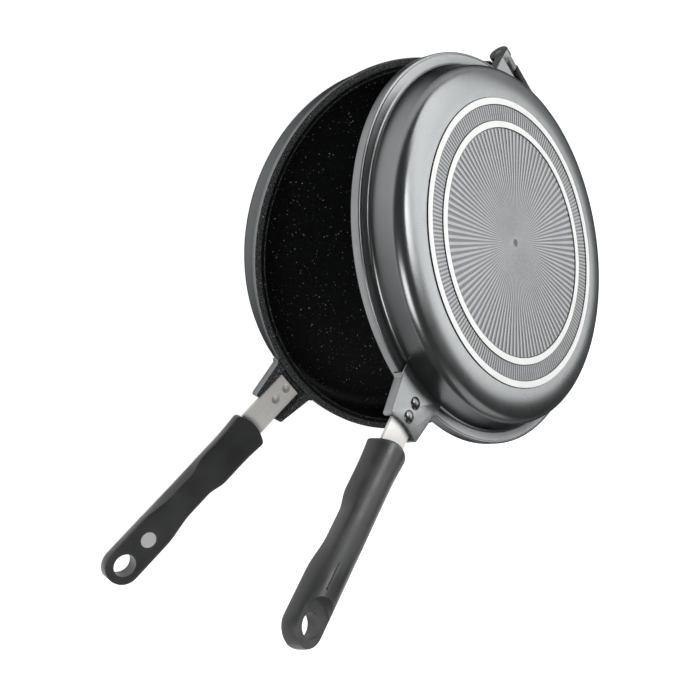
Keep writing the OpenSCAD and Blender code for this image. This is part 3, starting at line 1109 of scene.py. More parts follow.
@dataclass(frozen=True)
class Grip:
    """Half-round plastic grip with its waist, hanging eye and magnet seat. Sizes in millimetres."""

    half: Half
    start: float = 195.5
    length: float = 153.0
    half_width: float = 16.5
    slim_in: float = 1.6
    slim_by: float = 32.0
    scoop_in: float = 3.5
    scoop_span: tuple[float, float, float, float] = (45.0, 61.0, 80.0, 108.0)
    scoop_rise: float = 42.0
    depth: float = 17.4
    shallow: float = 0.9
    flat: float = 0.2
    corner: float = 2.4
    bow: float = 4.6
    bow_fade: float = 22.0
    nose: float = 13.0
    eye_t: float = 11.5
    eye_flat_r: float = 17.0
    eye_r: float = 8.5
    eye_back: float = 14.5
    magnet_back: float = 24.4
    magnet_r: float = 6.0
    line_x: float = -5.6
    line_span: tuple[float, float] = (96.3, 115.6)
    line_deep: float = 1.9
    end_share: float = 0.88
    least_half: float = 2.0
    squareness: float = 0.88
    edge_h: float = 0.8
    edge_bevel: float = 0.24
    flat_points: int = 17

    @property
    def eye_y(self) -> float:
        """Distance of the hanging hole from the middle of the pan."""
        return self.start + self.length - self.eye_back

    @staticmethod
    def ramp(s: float, span: tuple[float, float, float, float]) -> float:
        """Share of a dip at one place along the grip.

        Args:
            s: Distance from the near end.
            span: Where the dip starts, is full, is still full and ends.

        Returns:
            The share, from 0 to 1.
        """
        up = min(max((s - span[0]) / (span[1] - span[0]), 0.0), 1.0)
        down = min(max((span[3] - s) / (span[3] - span[2]), 0.0), 1.0)
        share = min(up, down)
        return share * share * (3.0 - 2.0 * share)

    def near_round(self, s: float) -> float:
        """Rounding of the near end, from 0 at the end to 1."""
        return math.sqrt(max(0.0, 1.0 - (1.0 - s / self.corner) ** 2)) if s < self.corner else 1.0

    def far_round(self, s: float) -> float:
        """Rounding of the far end, from 1 to 0 at the end."""
        over = s - (self.length - self.nose)
        return math.sqrt(max(0.0, 1.0 - (over / self.nose) ** 2)) if over > 0.0 else 1.0

    def section(self, s: float, points: int = 40) -> list[Point2]:
        """Outline of the grip across its length.

        Args:
            s: Distance from the near end.
            points: Points round the back.

        Returns:
            The outline, from the flat's right edge round the back to its left edge.
        """
        slim = math.sin(min(s / self.slim_by, 1.0) * math.pi / 2)
        share = self.end_share + (1.0 - self.end_share) * self.near_round(s)
        width = (self.half_width - self.slim_in * slim) * share * self.far_round(s)
        width = max(width, self.least_half)
        height = (self.depth - self.shallow * slim) * share
        low = self.flat + self.edge_h
        bevel = self.edge_bevel
        scoop = self.scoop_in * self.ramp(s, self.scoop_span)
        edge = width - scoop
        outline = [(edge - self.edge_h, self.flat), (edge - bevel, self.flat + bevel), (edge, low)]
        for i in range(1, points):
            angle = math.pi * i / points
            side = math.copysign(abs(math.cos(angle)) ** self.squareness, math.cos(angle))
            off_flat = math.degrees(min(angle, math.pi - angle))
            reach = width - scoop * max(0.0, 1.0 - off_flat / self.scoop_rise)
            outline.append((reach * side, low + (height - low) * math.sin(angle) ** self.squareness))
        outline += [(-edge, low), (-edge + bevel, self.flat + bevel)]
        reach = edge - self.edge_h
        outline += [(x, self.flat) for x in np.linspace(-reach, reach, self.flat_points + 1)[:-1].tolist()]
        return outline

    def set_back(self, x: float, s: float) -> float:
        """How far a point stands back from its section, because the near end is bowed."""
        return self.bow * (x / self.half_width) ** 2 * max(0.0, 1.0 - s / self.bow_fade)

    def stations(self) -> list[float]:
        """Distances of the sections from the near end.

        Returns:
            The distances, closer together at both ends.
        """
        near = [self.corner * (1.0 - math.cos(math.pi * i / 16.0)) for i in range(9)]
        body = np.linspace(self.corner + 1.5, self.length - self.nose - 1.5, 64).tolist()
        far = [self.length - self.nose * (1.0 - math.sin(math.pi * i / 32.0) * 0.999) for i in range(17)]
        return near + body + far

    def skin(self) -> bpy.types.Object:
        """Lofts the sections into a closed skin.

        Returns:
            The skin in its half's frame.
        """
        bm = bmesh.new()
        rows = [[bm.verts.new((x, -self.start - s - self.set_back(x, s), z)) for x, z in self.section(s)]
                for s in self.stations()]
        for row, following in zip(rows, rows[1:]):
            count = len(row)
            for i in range(count):
                j = (i + 1) % count
                bm.faces.new((row[i], row[j], following[j], following[i]))
        bm.faces.new(reversed(rows[0]))
        bm.faces.new(rows[-1])
        bmesh.ops.recalc_face_normals(bm, faces=bm.faces)
        return bmesh_object(self.half.node("grip_skin"), bm)

    def mould_line(self) -> bmesh.types.BMesh:
        """Cutter of the fine line along the grip's back, with a round end.

        Returns:
            The cutter, closed, with faces outwards.
        """
        x, y0, y1 = self.line_x, -self.start - self.line_span[0], -self.start - self.line_span[1]
        outline = [(x - 0.35, y0), (x - 0.35, y1 + 0.3)] + arc((x, y1), 0.75, 155.0, 385.0, 12)
        outline += [(x + 0.35, y1 + 0.3), (x + 0.35, y0)]
        return prism(outline, self.depth - self.line_deep, self.depth + 5.0)

    def build(self, placing: Placing, finishes: Finishes) -> bpy.types.Object:
        """Makes the grip in its place.

        Args:
            placing: Where the halves lie.
            finishes: The object's materials.

        Returns:
            The grip, ready to ride.
        """
        skin = self.skin()
        centre = (0.0, -self.eye_y)
        hole = bmesh_object("hole", disc(self.eye_r, -3.0, 30.0, centre=centre))
        corner = 1.4
        foot = self.eye_flat_r - 1.0
        profile = [(0.0, self.eye_t), (foot - corner, self.eye_t)]
        profile += arc((foot - corner, self.eye_t + corner), corner, -75.0, -30.0, 4)
        profile += [(self.eye_flat_r + 3.0, self.depth + 1.0), (self.eye_flat_r + 3.0, 40.0), (0.0, 40.0)]
        step = bmesh_object("step", lathe(profile, centre))
        magnet = (0.0, -self.eye_y + self.magnet_back)
        seat = bmesh_object("seat", disc(self.magnet_r + 0.12, -3.0, 2.5, centre=magnet))
        cuts = [hole, step, seat]
        if self.half is Half.UPPER:
            cuts.append(bmesh_object("mould_line", self.mould_line()))
        skin = boolean(skin, cuts, "DIFFERENCE")
        set_slots(skin, (finishes.grip,))
        tag_faces(skin, 0)
        place_piece(skin, placing, self.half)
        smooth(skin.data, 38.0)
        return skin


@dataclass(frozen=True)
class Tang:
    """Flat steel tang between the lug and the grip. Sizes in millimetres."""

    half: Half
    width: float = 22.0
    thickness: float = 2.5
    face_z: float = 5.0
    start: float = 153.0
    grip_start: float = 195.5
    entry: float = 8.0
    rivets: tuple[float, float] = (157.0, 169.0)
    set_r: float = 3.81
    set_deep: float = 0.9

    def build(self, placing: Placing, finishes: Finishes) -> bpy.types.Object:
        """Makes the tang in its place.

        Args:
            placing: Where the halves lie.
            finishes: The object's materials.

        Returns:
            The tang, ready to ride.
        """
        side, end = self.width / 2, -self.grip_start - self.entry
        outline = [(-side, end), (side, end), (side, -self.start), (-side, -self.start)]
        strip = bmesh_object("strip", prism(outline, self.face_z, self.face_z + self.thickness, 0.35, 3))
        low, high = self.face_z - 2.0, self.face_z + self.set_deep
        seats = [bmesh_object("seat", disc(self.set_r, low, high, centre=(0.0, -y))) for y in self.rivets]
        tang = boolean(strip, seats, "DIFFERENCE")
        tang.name = self.half.node("tang_strip")
        set_slots(tang, (finishes.tang,))
        tag_faces(tang, 0)
        place_piece(tang, placing, self.half)
        smooth(tang.data)
        return tang


@dataclass(frozen=True)
class SunburstTree:
    """Geometry Nodes tree that lays raised ribs round a circle. Sizes in millimetres."""

    name: str = "RadialRibs"

    def build(self) -> bpy.types.GeometryNodeTree:
        """Makes the tree.

        Returns:
            The tree, with inputs Count, Inner, Outer, Width, Taper, Relief, Level and Finish.
        """
        numbers = ("Inner", "Outer", "Width", "Taper", "Relief", "Level")
        group = geometry_group(self.name, numbers, ("Finish",))
        tree = NodeTree(group)
        sizes = tree.add("NodeGroupInput").outputs
        length = tree.math("SUBTRACT", sizes["Outer"], sizes["Inner"])
        middle = tree.math("MULTIPLY", tree.math("ADD", sizes["Outer"], sizes["Inner"]), 0.5)
        rib = tree.add("GeometryNodeMeshCone", fill_type="NGON")
        rib.inputs["Vertices"].default_value = 4
        half_diagonal = math.sqrt(0.5)
        tree.link(tree.math("MULTIPLY", sizes["Width"], half_diagonal), rib.inputs["Radius Bottom"])
        tree.link(tree.math("MULTIPLY", tree.math("MULTIPLY", sizes["Width"], sizes["Taper"]), half_diagonal),
                  rib.inputs["Radius Top"])
        tree.link(length, rib.inputs["Depth"])
        turned = tree.add("GeometryNodeTransform")
        tree.link(rib.outputs["Mesh"], turned.inputs["Geometry"])
        turned.inputs["Rotation"].default_value = (0.0, 0.0, math.radians(45.0))
        laid = tree.add("GeometryNodeTransform")
        tree.link(turned.outputs["Geometry"], laid.inputs["Geometry"])
        laid.inputs["Rotation"].default_value = (0.0, math.radians(-90.0), 0.0)
        start = tree.add("ShaderNodeCombineXYZ")
        tree.link(tree.math("ADD", middle, tree.math("MULTIPLY", length, 0.5)), start.inputs["X"])
        tree.link(start.outputs[0], laid.inputs["Translation"])
        flat = tree.add("GeometryNodeTransform")
        tree.link(laid.outputs["Geometry"], flat.inputs["Geometry"])
        squash = tree.add("ShaderNodeCombineXYZ", X=1.0, Y=1.0)
        relief = tree.math("MULTIPLY", sizes["Relief"], 2.0)
        tree.link(tree.math("DIVIDE", relief, sizes["Width"]), squash.inputs["Z"])
        tree.link(squash.outputs[0], flat.inputs["Scale"])
        lift = tree.add("ShaderNodeCombineXYZ")
        tree.link(sizes["Level"], lift.inputs["Z"])
        tree.link(lift.outputs[0], flat.inputs["Translation"])
        points = tree.add("GeometryNodePoints")
        tree.link(sizes["Count"], points.inputs["Count"])
        spots = tree.add("GeometryNodeInstanceOnPoints")
        tree.link(points.outputs[0], spots.inputs["Points"])
        tree.link(flat.outputs["Geometry"], spots.inputs["Instance"])
        index = tree.add("GeometryNodeInputIndex").outputs[0]
        angle = tree.math("MULTIPLY", tree.math("DIVIDE", index, sizes["Count"]), 2.0 * math.pi)
        turn = tree.add("ShaderNodeCombineXYZ")
        tree.link(angle, turn.inputs["Z"])
        as_turn = tree.add("FunctionNodeEulerToRotation")
        tree.link(turn.outputs[0], as_turn.inputs[0])
        tree.link(as_turn.outputs[0], spots.inputs["Rotation"])
        real = tree.add("GeometryNodeRealizeInstances")
        tree.link(spots.outputs["Instances"], real.inputs["Geometry"])
        dress = tree.add("GeometryNodeSetMaterial")
        tree.link(real.outputs["Geometry"], dress.inputs["Geometry"])
        tree.link(sizes["Finish"], dress.inputs["Material"])
        tree.link(dress.outputs["Geometry"], tree.add("NodeGroupOutput").inputs[0])
        return group


@dataclass(frozen=True)
class RibRing:
    """One ring of raised radial ribs on a base. Sizes in millimetres."""

    name: str
    half: Half
    count: int
    inner: float
    outer: float
    width: float
    taper: float
    relief: float
    level: float

    def build(self, group: bpy.types.GeometryNodeTree, placing: Placing,
              finish: bpy.types.Material) -> bpy.types.Object:
        """Makes the ribs in their place.

        Args:
            group: The tree that lays the ribs.
            placing: Where the halves lie.
            finish: The ribs' material.

        Returns:
            The ribs as one plain mesh.
        """
        ribs = grow(self.name, group, {
            "Count": self.count, "Inner": self.inner, "Outer": self.outer, "Width": self.width,
            "Taper": self.taper, "Relief": self.relief, "Level": self.level, "Finish": finish})
        place_piece(ribs, placing, self.half)
        return ribs


@dataclass(frozen=True)
class RivetTree:
    """Geometry Nodes tree of a row of rivets with a domed head and a dished set head."""

    name: str = "RivetRow"

    def build(self) -> bpy.types.GeometryNodeTree:
        """Makes the tree.

        Returns:
            The tree, with inputs for its count and sizes, Head Finish and Set Finish.
        """
        group = geometry_group(
            self.name, ("Start", "Pitch", "Head", "Dome", "Top", "Shank", "Set", "Dish", "Seat"),
            ("Head Finish", "Set Finish"))
        tree = NodeTree(group)
        sizes = tree.add("NodeGroupInput").outputs
        parts = tree.add("GeometryNodeJoinGeometry")
        head = self.button(tree, sizes["Head"], sizes["Dome"], sizes["Top"], None)
        tree.link(self.dress(tree, head, sizes["Head Finish"]), parts.inputs[0])
        foot = self.button(tree, sizes["Set"], 0.5, sizes["Seat"], sizes["Dish"])
        tree.link(self.dress(tree, foot, sizes["Set Finish"]), parts.inputs[0])
        shank = tree.add("GeometryNodeMeshCylinder")
        shank.inputs["Vertices"].default_value = 32
        tree.link(sizes["Shank"], shank.inputs["Radius"])
        foot_z = tree.math("ADD", sizes["Seat"], tree.math("MULTIPLY", sizes["Dish"], 0.5))
        tree.link(tree.math("SUBTRACT", sizes["Top"], foot_z), shank.inputs["Depth"])
        raised = tree.add("GeometryNodeTransform")
        tree.link(shank.outputs["Mesh"], raised.inputs["Geometry"])
        lift = tree.add("ShaderNodeCombineXYZ")
        tree.link(tree.math("MULTIPLY", tree.math("ADD", sizes["Top"], foot_z), 0.5), lift.inputs["Z"])
        tree.link(lift.outputs[0], raised.inputs["Translation"])
        tree.link(self.dress(tree, raised.outputs["Geometry"], sizes["Head Finish"]), parts.inputs[0])
        row = tree.add("GeometryNodeMeshLine")
        tree.link(sizes["Count"], row.inputs["Count"])
        for key, name in (("Start", "Start Location"), ("Pitch", "Offset")):
            along = tree.add("ShaderNodeCombineXYZ")
            tree.link(sizes[key], along.inputs["Y"])
            tree.link(along.outputs[0], row.inputs[name])
        spots = tree.add("GeometryNodeInstanceOnPoints")
        tree.link(row.outputs["Mesh"], spots.inputs["Points"])
        tree.link(parts.outputs[0], spots.inputs["Instance"])
        real = tree.add("GeometryNodeRealizeInstances")
        tree.link(spots.outputs["Instances"], real.inputs["Geometry"])
        tree.link(real.outputs["Geometry"], tree.add("NodeGroupOutput").inputs[0])
        return group

    @staticmethod
    def dress(tree: NodeTree, shape: bpy.types.NodeSocket,
              finish: bpy.types.NodeSocket) -> bpy.types.NodeSocket:
        """Adds a Set Material node.

        Args:
            tree: The tree that it is added to.
            shape: The geometry that it dresses.
            finish: The material.

        Returns:
            The dressed geometry.
        """
        node = tree.add("GeometryNodeSetMaterial")
        tree.link(shape, node.inputs["Geometry"])
        tree.link(finish, node.inputs["Material"])
        return node.outputs["Geometry"]

    @staticmethod
    def button(tree: NodeTree, radius: bpy.types.NodeSocket, height: object, level: bpy.types.NodeSocket,
               dish: bpy.types.NodeSocket | None) -> bpy.types.NodeSocket:
        """Adds a flat round button.

        Args:
            tree: The tree that it is added to.
            radius: Its radius.
            height: Half of its thickness.
            level: Height of its middle.
            dish: How far its middle is pressed in, or None.

        Returns:
            The button's geometry.
        """
        ball = tree.add("GeometryNodeMeshUVSphere")
        ball.inputs["Segments"].default_value = 40
        ball.inputs["Rings"].default_value = 18
        shape = ball.outputs["Mesh"]
        scale = tree.add("ShaderNodeCombineXYZ")
        tree.link(radius, scale.inputs["X"])
        tree.link(radius, scale.inputs["Y"])
        tree.link(tree.math("MULTIPLY", height, 1.0), scale.inputs["Z"])
        lift = tree.add("ShaderNodeCombineXYZ")
        tree.link(level, lift.inputs["Z"])
        if dish is not None:
            where = tree.add("GeometryNodeInputPosition").outputs[0]
            flat = tree.add("ShaderNodeVectorMath", operation="MULTIPLY")
            tree.link(where, flat.inputs[0])
            flat.inputs[1].default_value = (1.0, 1.0, 0.0)
            out = tree.add("ShaderNodeVectorMath", operation="DOT_PRODUCT")
            tree.link(flat.outputs[0], out.inputs[0])
            tree.link(flat.outputs[0], out.inputs[1])
            fall = tree.math("MULTIPLY", tree.math("SUBTRACT", 1.0, out.outputs["Value"]), dish)
            push = tree.add("ShaderNodeCombineXYZ")
            tree.link(fall, push.inputs["Z"])
            pressed = tree.add("GeometryNodeSetPosition")
            tree.link(shape, pressed.inputs["Geometry"])
            tree.link(push.outputs[0], pressed.inputs["Offset"])
            shape = pressed.outputs["Geometry"]
        placed = tree.add("GeometryNodeTransform")
        tree.link(shape, placed.inputs["Geometry"])
        tree.link(scale.outputs[0], placed.inputs["Scale"])
        tree.link(lift.outputs[0], placed.inputs["Translation"])
        return placed.outputs["Geometry"]


@dataclass(frozen=True)
class Rivets:
    """The two rivets of one handle. Sizes in millimetres."""

    half: Half
    count: int = 2
    first: float = 157.0
    pitch: float = 12.0
    head_r: float = 4.8
    dome: float = 1.8
    top: float = 10.5
    shank_r: float = 1.95
    set_r: float = 3.7
    dish: float = 1.9
    seat: float = 5.5

    def build(self, group: bpy.types.GeometryNodeTree, placing: Placing,
              finishes: Finishes) -> bpy.types.Object:
        """Makes both rivets in their place.

        Args:
            group: The tree that lays the row.
            placing: Where the halves lie.
            finishes: The object's materials.

        Returns:
            The rivets as one plain mesh.
        """
        rivets = grow(self.half.node("rivet_pair"), group, {
            "Count": self.count, "Start": -self.first, "Pitch": -self.pitch, "Head": self.head_r,
            "Dome": self.dome, "Top": self.top, "Shank": self.shank_r, "Set": self.set_r, "Dish": self.dish,
            "Seat": self.seat, "Head Finish": finishes.rivet, "Set Finish": finishes.set_head})
        place_piece(rivets, placing, self.half)
        smooth(rivets.data, 40.0)
        return rivets


@dataclass(frozen=True)
class SmallParts:
    """Seal, hinge pin, spacers and magnets. Sizes in millimetres."""

    seal_r: float = 143.6
    seal_w: float = 1.8
    seal_top: float = 2.5
    seal_low: float = -1.2
    hinge_y: float = 155.0
    pin_r: float = 3.5
    pin_half: float = 73.8
    spacer_r: float = 7.4
    spacer: tuple[float, float] = (55.25, 66.65)
    magnet_r: float = 6.0
    magnet_t: float = 2.3
    magnet_y: float = 309.6
    magnet_z: float = 0.2
    segments: int = 288

    def seal(self, name: str) -> bpy.types.Object:
        """Makes the seal, with a rounded lip.

        Args:
            name: Name of the piece.

        Returns:
            The seal in the upper half's frame.
        """
        side = self.seal_w / 2
        tip = arc((self.seal_r, self.seal_low + side), side, 180.0, 360.0, 10)
        profile = [*tip, (self.seal_r + side, self.seal_top), (self.seal_r - side, self.seal_top)]
        bm = bmesh.new()
        rows = [ring_row(bm, radius, height, self.segments) for radius, height in profile]
        for row, following in zip(rows, rows[1:] + rows[:1]):
            for i in range(self.segments):
                j = (i + 1) % self.segments
                bm.faces.new((row[i], row[j], following[j], following[i]))
        bmesh.ops.recalc_face_normals(bm, faces=bm.faces)
        return bmesh_object(name, bm)

    def bar(self, name: str, radius: float, x0: float, x1: float, edge: float) -> bpy.types.Object:
        """Makes a turned bar along the hinge with rounded ends.

        Args:
            name: Name of the piece.
            radius: Radius of the bar.
            x0: Its left end.
            x1: Its right end.
            edge: Rounding of its ends.

        Returns:
            The bar in the half's frame.
        """
        profile = [(0.0, x0)]
        profile += arc((radius - edge, x0 + edge), edge, -90.0, 0.0, 4)
        profile += arc((radius - edge, x1 - edge), edge, 0.0, 90.0, 4)
        profile.append((0.0, x1))
        bm = lathe(profile, sides=72)
        turn = Matrix.Rotation(math.radians(90.0), 4, "Y")
        bmesh.ops.transform(bm, matrix=Matrix.Translation((0.0, self.hinge_y, 0.0)) @ turn, verts=bm.verts)
        return bmesh_object(name, bm)

    def magnet(self, name: str) -> bpy.types.Object:
        """Makes a magnet with rounded edges.

        Args:
            name: Name of the piece.

        Returns:
            The magnet in its half's frame.
        """
        edge = 0.3
        low, high = self.magnet_z, self.magnet_z + self.magnet_t
        profile = [(0.0, low)] + arc((self.magnet_r - edge, low + edge), edge, -90.0, 0.0, 3)
        profile += arc((self.magnet_r - edge, high - edge), edge, 0.0, 90.0, 3) + [(0.0, high)]
        return bmesh_object(name, lathe(profile, (0.0, -self.magnet_y), 64))


class Studio:
    """Floor, light and the camera at the photograph's angle."""

    def __init__(self, parting_z: float) -> None:
        """Keeps the height of the parting plane, which the camera's place is measured from."""
        self.parting_z = parting_z

    def floor(self) -> None:
        """Lays a plain white floor that keeps the object's shadow."""
        bm = bmesh.new()
        bmesh.ops.create_grid(bm, x_segments=1, y_segments=1, size=40.0)
        floor = bmesh_object("studio_floor", bm)
        material = bpy.data.materials.new("floor_white")
        material.use_nodes = True
        tree = NodeTree(material.node_tree)
        plain = tree.add("ShaderNodeBsdfDiffuse", Color=(0.9, 0.9, 0.9, 1.0))
        glow = tree.add("ShaderNodeEmission", Color=(1.0, 1.0, 1.0, 1.0), Strength=0.78)
        path = tree.add("ShaderNodeLightPath")
        seen = tree.math("MAXIMUM", path.outputs["Is Camera Ray"], path.outputs["Is Transmission Ray"])
        seen = tree.math("MAXIMUM", seen, path.outputs["Is Glossy Ray"])
        both = tree.add("ShaderNodeAddShader")
        tree.link(plain.outputs[0], both.inputs[0])
        tree.link(glow.outputs[0], both.inputs[1])
        choose = tree.add("ShaderNodeMixShader")
        tree.link(seen, choose.inputs[0])
        tree.link(plain.outputs[0], choose.inputs[1])
        tree.link(both.outputs[0], choose.inputs[2])
        tree.link(choose.outputs[0], tree.add("ShaderNodeOutputMaterial").inputs["Surface"])
        set_slots(floor, (material,))

    def world(self) -> None:
        """Lights the scene evenly and dimly from all round."""
        world = bpy.data.worlds.new("studio")
        world.use_nodes = True
        bpy.context.scene.world = world
        tree = NodeTree(world.node_tree)
        soft = tree.add("ShaderNodeBackground", Color=(1.0, 1.0, 1.0, 1.0), Strength=0.09)
        tree.link(soft.outputs[0], tree.add("ShaderNodeOutputWorld").inputs["Surface"])

    def softbox(self, name: str, place: Point3, target: Point3, size: Point2, power: float,
                spread: float = 180.0) -> None:
        """Hangs a soft box.

        Args:
            name: Name of the lamp.
            place: Where it hangs, in metres.
            target: What it looks at.
            size: Its width and height, in metres.
            power: Its power, in watts.
            spread: Angle of its beam, in degrees.
        """
        lamp = bpy.data.lights.new(name, "AREA")
        lamp.shape = "RECTANGLE"
        lamp.size, lamp.size_y = size
        lamp.energy = power
        lamp.spread = math.radians(spread)
        obj = bpy.data.objects.new(name, lamp)
        obj.location = place
        obj.rotation_euler = (Vector(target) - Vector(place)).to_track_quat("-Z", "Y").to_euler()
        bpy.context.scene.collection.objects.link(obj)

    def camera(self) -> None:
        """Sets the camera to the photograph's angle, place and framing."""
        place = Vector((-491.96, -345.59, 792.08 + self.parting_z)) * MM
        right = Vector((0.48233, 0.63314, 0.60538)).normalized()
        ahead = Vector((0.56316, 0.30522, -0.76791)).normalized()
        up = right.cross(ahead)
        frame_px = 700.0
        focal_px = 1229.9
        centre_px = (450.0, 350.0)
        data = bpy.data.cameras.new("photo_camera")
        data.sensor_width = 36.0
        data.lens = focal_px / frame_px * data.sensor_width
        data.shift_x = (frame_px / 2 - centre_px[0]) / frame_px
        data.shift_y = (centre_px[1] - frame_px / 2) / frame_px
        data.clip_end = 200.0
        camera = bpy.data.objects.new("photo_camera", data)
        axes = Matrix((right, up, -ahead)).transposed().to_4x4()
        camera.matrix_world = Matrix.Translation(place) @ axes
        bpy.context.scene.collection.objects.link(camera)
        bpy.context.scene.camera = camera

    def build(self) -> None:
        """Sets up the whole studio."""
        bpy.context.scene.view_settings.view_transform = "Standard"
        self.floor()
        self.world()
        self.camera()
        middle = (0.0, -0.05, 0.08)
        self.softbox("key_softbox", (0.12, 1.27, 0.64), middle, (2.2, 0.75), 18.0)
        self.softbox("fill_softbox", (1.25, -0.3, 0.95), middle, (1.0, 1.0), 3.0)
        self.softbox("handle_softbox", (-0.3, -0.6, 0.6), (0.0, -0.22, 0.04), (0.4, 0.4), 2.5)
        self.softbox("grip_softbox", (0.0, 0.62, 0.9), (0.0, -0.24, 0.21), (0.5, 0.2), 0.3, 50.0)


def build_finishes() -> Finishes:
    """Makes all materials of the object.

    Returns:
        The materials.
    """
    groups = {"grain": grain_group(), "edges": edge_wear_and_highlight_group(), "brushed": brushed_group(), "dots": dots_group()}
    # Light grey for the paint's sharp edges: edge wear and a painted edge highlight.
    worn_lit_edge_grey = (0.62, 0.62, 0.62)
    return Finishes(
        paint=Finish("grey_metallic_paint", (0.2, 0.207, 0.21), 0.28, metallic=0.97, edge_tint=0.1,
                     grain_scale=2600.0, grain_shade=0.05, grain_depth=0.000004, edge_wear_and_highlight=0.14,
                     worn_lit_edge_colour=worn_lit_edge_grey).build(groups),
        coating=SpeckledCoating().build(),
        # Lighter copy of the black coating for the rim and the lugs' faces: a stippled texture, with a
        # lighter tone painted where these faces catch more light than the inside of the bowl.
        lit_stipple=SpeckledCoating("stippled_rim_lit", (0.008, 0.0085, 0.009), (0.17, 0.175, 0.178),
                                (0.5, 0.52, 0.53), mist_from=0.47).build(),
        machined=Finish("machined_ring", (0.78, 0.78, 0.77), 0.5, metallic=0.25, grain_scale=1500.0,
                        grain_shade=0.06, grain_depth=0.000006).build(groups),
        base=Finish("base_paint", (0.145, 0.15, 0.156), 0.42, metallic=0.7, edge_tint=0.5, grain_scale=2600.0,
                    grain_shade=0.08, grain_depth=0.000004, dot_depth=0.00008).build(groups),
        rays=Finish("pressed_rays", (0.27, 0.277, 0.282), 0.42, metallic=0.7, grain_scale=2200.0,
                    grain_shade=0.2, grain_depth=0.000006).build(groups),
        tang=Finish("brushed_tang", (0.93, 0.915, 0.88), 0.46, metallic=0.15,
                    brushed_depth=0.000006).build(groups),
        rivet=Finish("dark_rivet", (0.13, 0.128, 0.125), 0.22, metallic=0.95, grain_scale=1200.0,
                     grain_shade=0.12, grain_depth=0.000004).build(groups),
        set_head=Finish("set_rivet", (0.7, 0.69, 0.67), 0.35, metallic=0.45,
                        grain_depth=0.000006).build(groups),
        # The grip's sharp edges get a lighter grey: edge wear and a painted edge highlight.
        grip=Finish("grip_plastic", (0.031, 0.032, 0.0325), 0.4, specular=0.5, grain_scale=1700.0,
                    grain_shade=0.45, grain_depth=0.00002, edge_wear_and_highlight=0.3,
                    worn_lit_edge_colour=(0.12, 0.12, 0.125)).build(groups),
        magnet=Finish("magnet_nickel", (0.68, 0.665, 0.655), 0.5, metallic=0.1,
                      brushed_depth=0.000006).build(groups),
        hinge=Finish("hinge_steel", (0.12, 0.12, 0.12), 0.4, metallic=0.7, grain_depth=0.00001).build(groups),
        pin=Finish("blackened_pin", (0.05, 0.05, 0.05), 0.4, metallic=0.7, grain_depth=0.00001).build(groups),
        seal=Finish("seal_silicone", (0.012, 0.012, 0.013), 0.55, grain_depth=0.00001).build(groups),
        screw=Finish("zinc_screw", (0.6, 0.6, 0.62), 0.3, metallic=0.9, grain_depth=0.000006).build(groups),
        brass=Finish("turned_brass", (0.7, 0.5, 0.22), 0.3, metallic=0.9, grain_depth=0.000006).build(groups),
    )


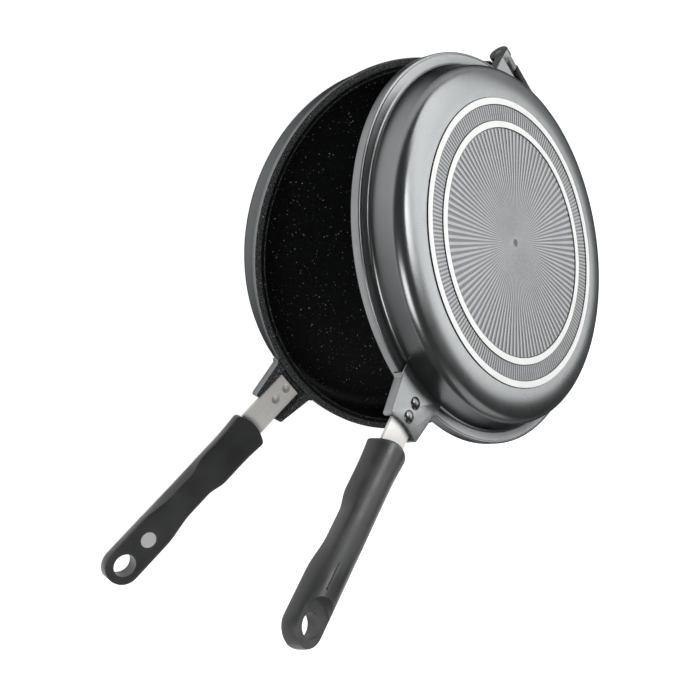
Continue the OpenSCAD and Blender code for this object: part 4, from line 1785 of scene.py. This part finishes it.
class FlipPan:
    """The whole pan: both halves, their handles and the hinge."""

    def __init__(self, frame: dict, finishes: Finishes) -> None:
        """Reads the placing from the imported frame.

        Args:
            finishes: The object's materials.
        """
        self.frame = frame
        self.finishes = finishes
        self.placing = Placing.from_joint(frame["joints"][0])

    def ride(self, piece: bpy.types.Object, half: Half, slot: str, *replaced: str) -> None:
        """Fastens a piece to its body and hides the CAD nodes that it stands for.

        Args:
            piece: The finished piece.
            half: The half that it rides on.
            slot: The record's material slot; not used.
            replaced: CAD nodes that it stands for.
        """
        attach(piece, half.body)
        if replaced:
            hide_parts(*replaced)
        LOG.info("%s: %d faces on %s", piece.name, len(piece.data.polygons), half.body)

    def pans(self) -> None:
        """Builds both castings."""
        outer, inner, gap = 54.9, 22.05, 0.35
        ear, end = 67.0, 73.8
        middle = inner - gap
        shells = (
            PanShell(Half.LOWER, depth=BASE_LEVEL[Half.LOWER], rim_h=6.2, ledge=5.0, draft=1.0, wall_t=4.0,
                     knuckles=((inner, outer), (-outer, -inner)), reliefs=((-inner, inner),),
                     rear_half=75.0, rear_corner=5.0, groove=(2.5, 1.55)),
            PanShell(Half.UPPER, depth=BASE_LEVEL[Half.UPPER], rim_h=7.8, ledge=10.5, draft=3.0, wall_t=3.2,
                     knuckles=((-middle, middle), (ear, end), (-end, -ear)),
                     reliefs=((middle, ear), (-ear, -middle)),
                     rear_half=end, rear_corner=1.2, groove=(1.82, 2.4)),
        )
        for shell in shells:
            casting = shell.build(self.placing, self.finishes)
            self.ride(casting, shell.half, "pan_paint", shell.half.node("pan"))

    def bases(self) -> None:
        """Builds the ribs on both bases."""
        tree = SunburstTree().build()
        for half, level in BASE_LEVEL.items():
            rays = RibRing(half.node("base_rays"), half, count=108, inner=3.0, outer=86.6, width=2.4,
                           taper=0.06, relief=0.3, level=level)
            band = RibRing(half.node("base_ribs"), half, count=216, inner=92.9, outer=104.2, width=1.5,
                           taper=0.88, relief=0.3, level=level)
            for ring in (rays, band):
                self.ride(ring.build(tree, self.placing, self.finishes.rays), half, "pan_paint")

    def handles(self) -> None:
        """Builds both handles."""
        row = RivetTree().build()
        for half in Half:
            rivets = Rivets(half).build(row, self.placing, self.finishes)
            self.ride(rivets, half, "rivet_steel", half.node("rivet_inner"), half.node("rivet_outer"))
            self.ride(Grip(half).build(self.placing, self.finishes), half, "grip_plastic", half.node("grip"))
            self.ride(Tang(half).build(self.placing, self.finishes), half, "tang_steel", half.node("tang"))

    def finish_small(self, piece: bpy.types.Object, half: Half, slot: str,
                     finish: bpy.types.Material, node: str) -> None:
        """Dresses, places and fastens a small piece.

        Args:
            piece: The piece in its half's frame.
            half: The half that it rides on.
            slot: The record's material slot.
            finish: Its material.
            node: CAD node that it stands for.
        """
        set_slots(piece, (finish,))
        place_piece(piece, self.placing, half)
        smooth(piece.data, 40.0)
        self.ride(piece, half, slot, node)

    def small_parts(self) -> None:
        """Builds the small pieces, and dresses the CAD nodes that keep their own shape."""
        sizes = SmallParts()
        looks = self.finishes
        self.finish_small(sizes.seal("seal_ring"), Half.UPPER, "seal_silicone", looks.seal, "rim_seal")
        pin = sizes.bar("hinge_pin_bar", sizes.pin_r, -sizes.pin_half, sizes.pin_half, 0.8)
        self.finish_small(pin, Half.UPPER, "hinge_steel", looks.pin, "hinge_pin")
        near, far = sizes.spacer
        for side, x0, x1 in (("left", -far, -near), ("right", near, far)):
            barrel = sizes.bar(f"spacer_barrel_{side}", sizes.spacer_r, x0, x1, 0.5)
            self.finish_small(barrel, Half.UPPER, "hinge_steel", looks.hinge, f"hinge_spacer_{side}")
        for half in Half:
            disc_piece = sizes.magnet(half.node("magnet_disc"))
            self.finish_small(disc_piece, half, "magnet_nickel", looks.magnet, half.node("magnet"))
        dress = {"screw": looks.screw, "insert": looks.brass}
        for name, node in self.frame["nodes"].items():
            for word, material in dress.items():
                if word in name:
                    set_slots(node, (material,))

    def build(self) -> None:
        """Builds everything in order."""
        self.pans()
        self.bases()
        self.handles()
        self.small_parts()


def main() -> None:
    """Builds the object and the studio."""
    logging.basicConfig(level=logging.INFO)
    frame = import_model()
    FlipPan(frame, build_finishes()).build()
    Studio(frame["joints"][0]["pos_m"][2] / MM).build()


if __name__ == "__main__":
    main()
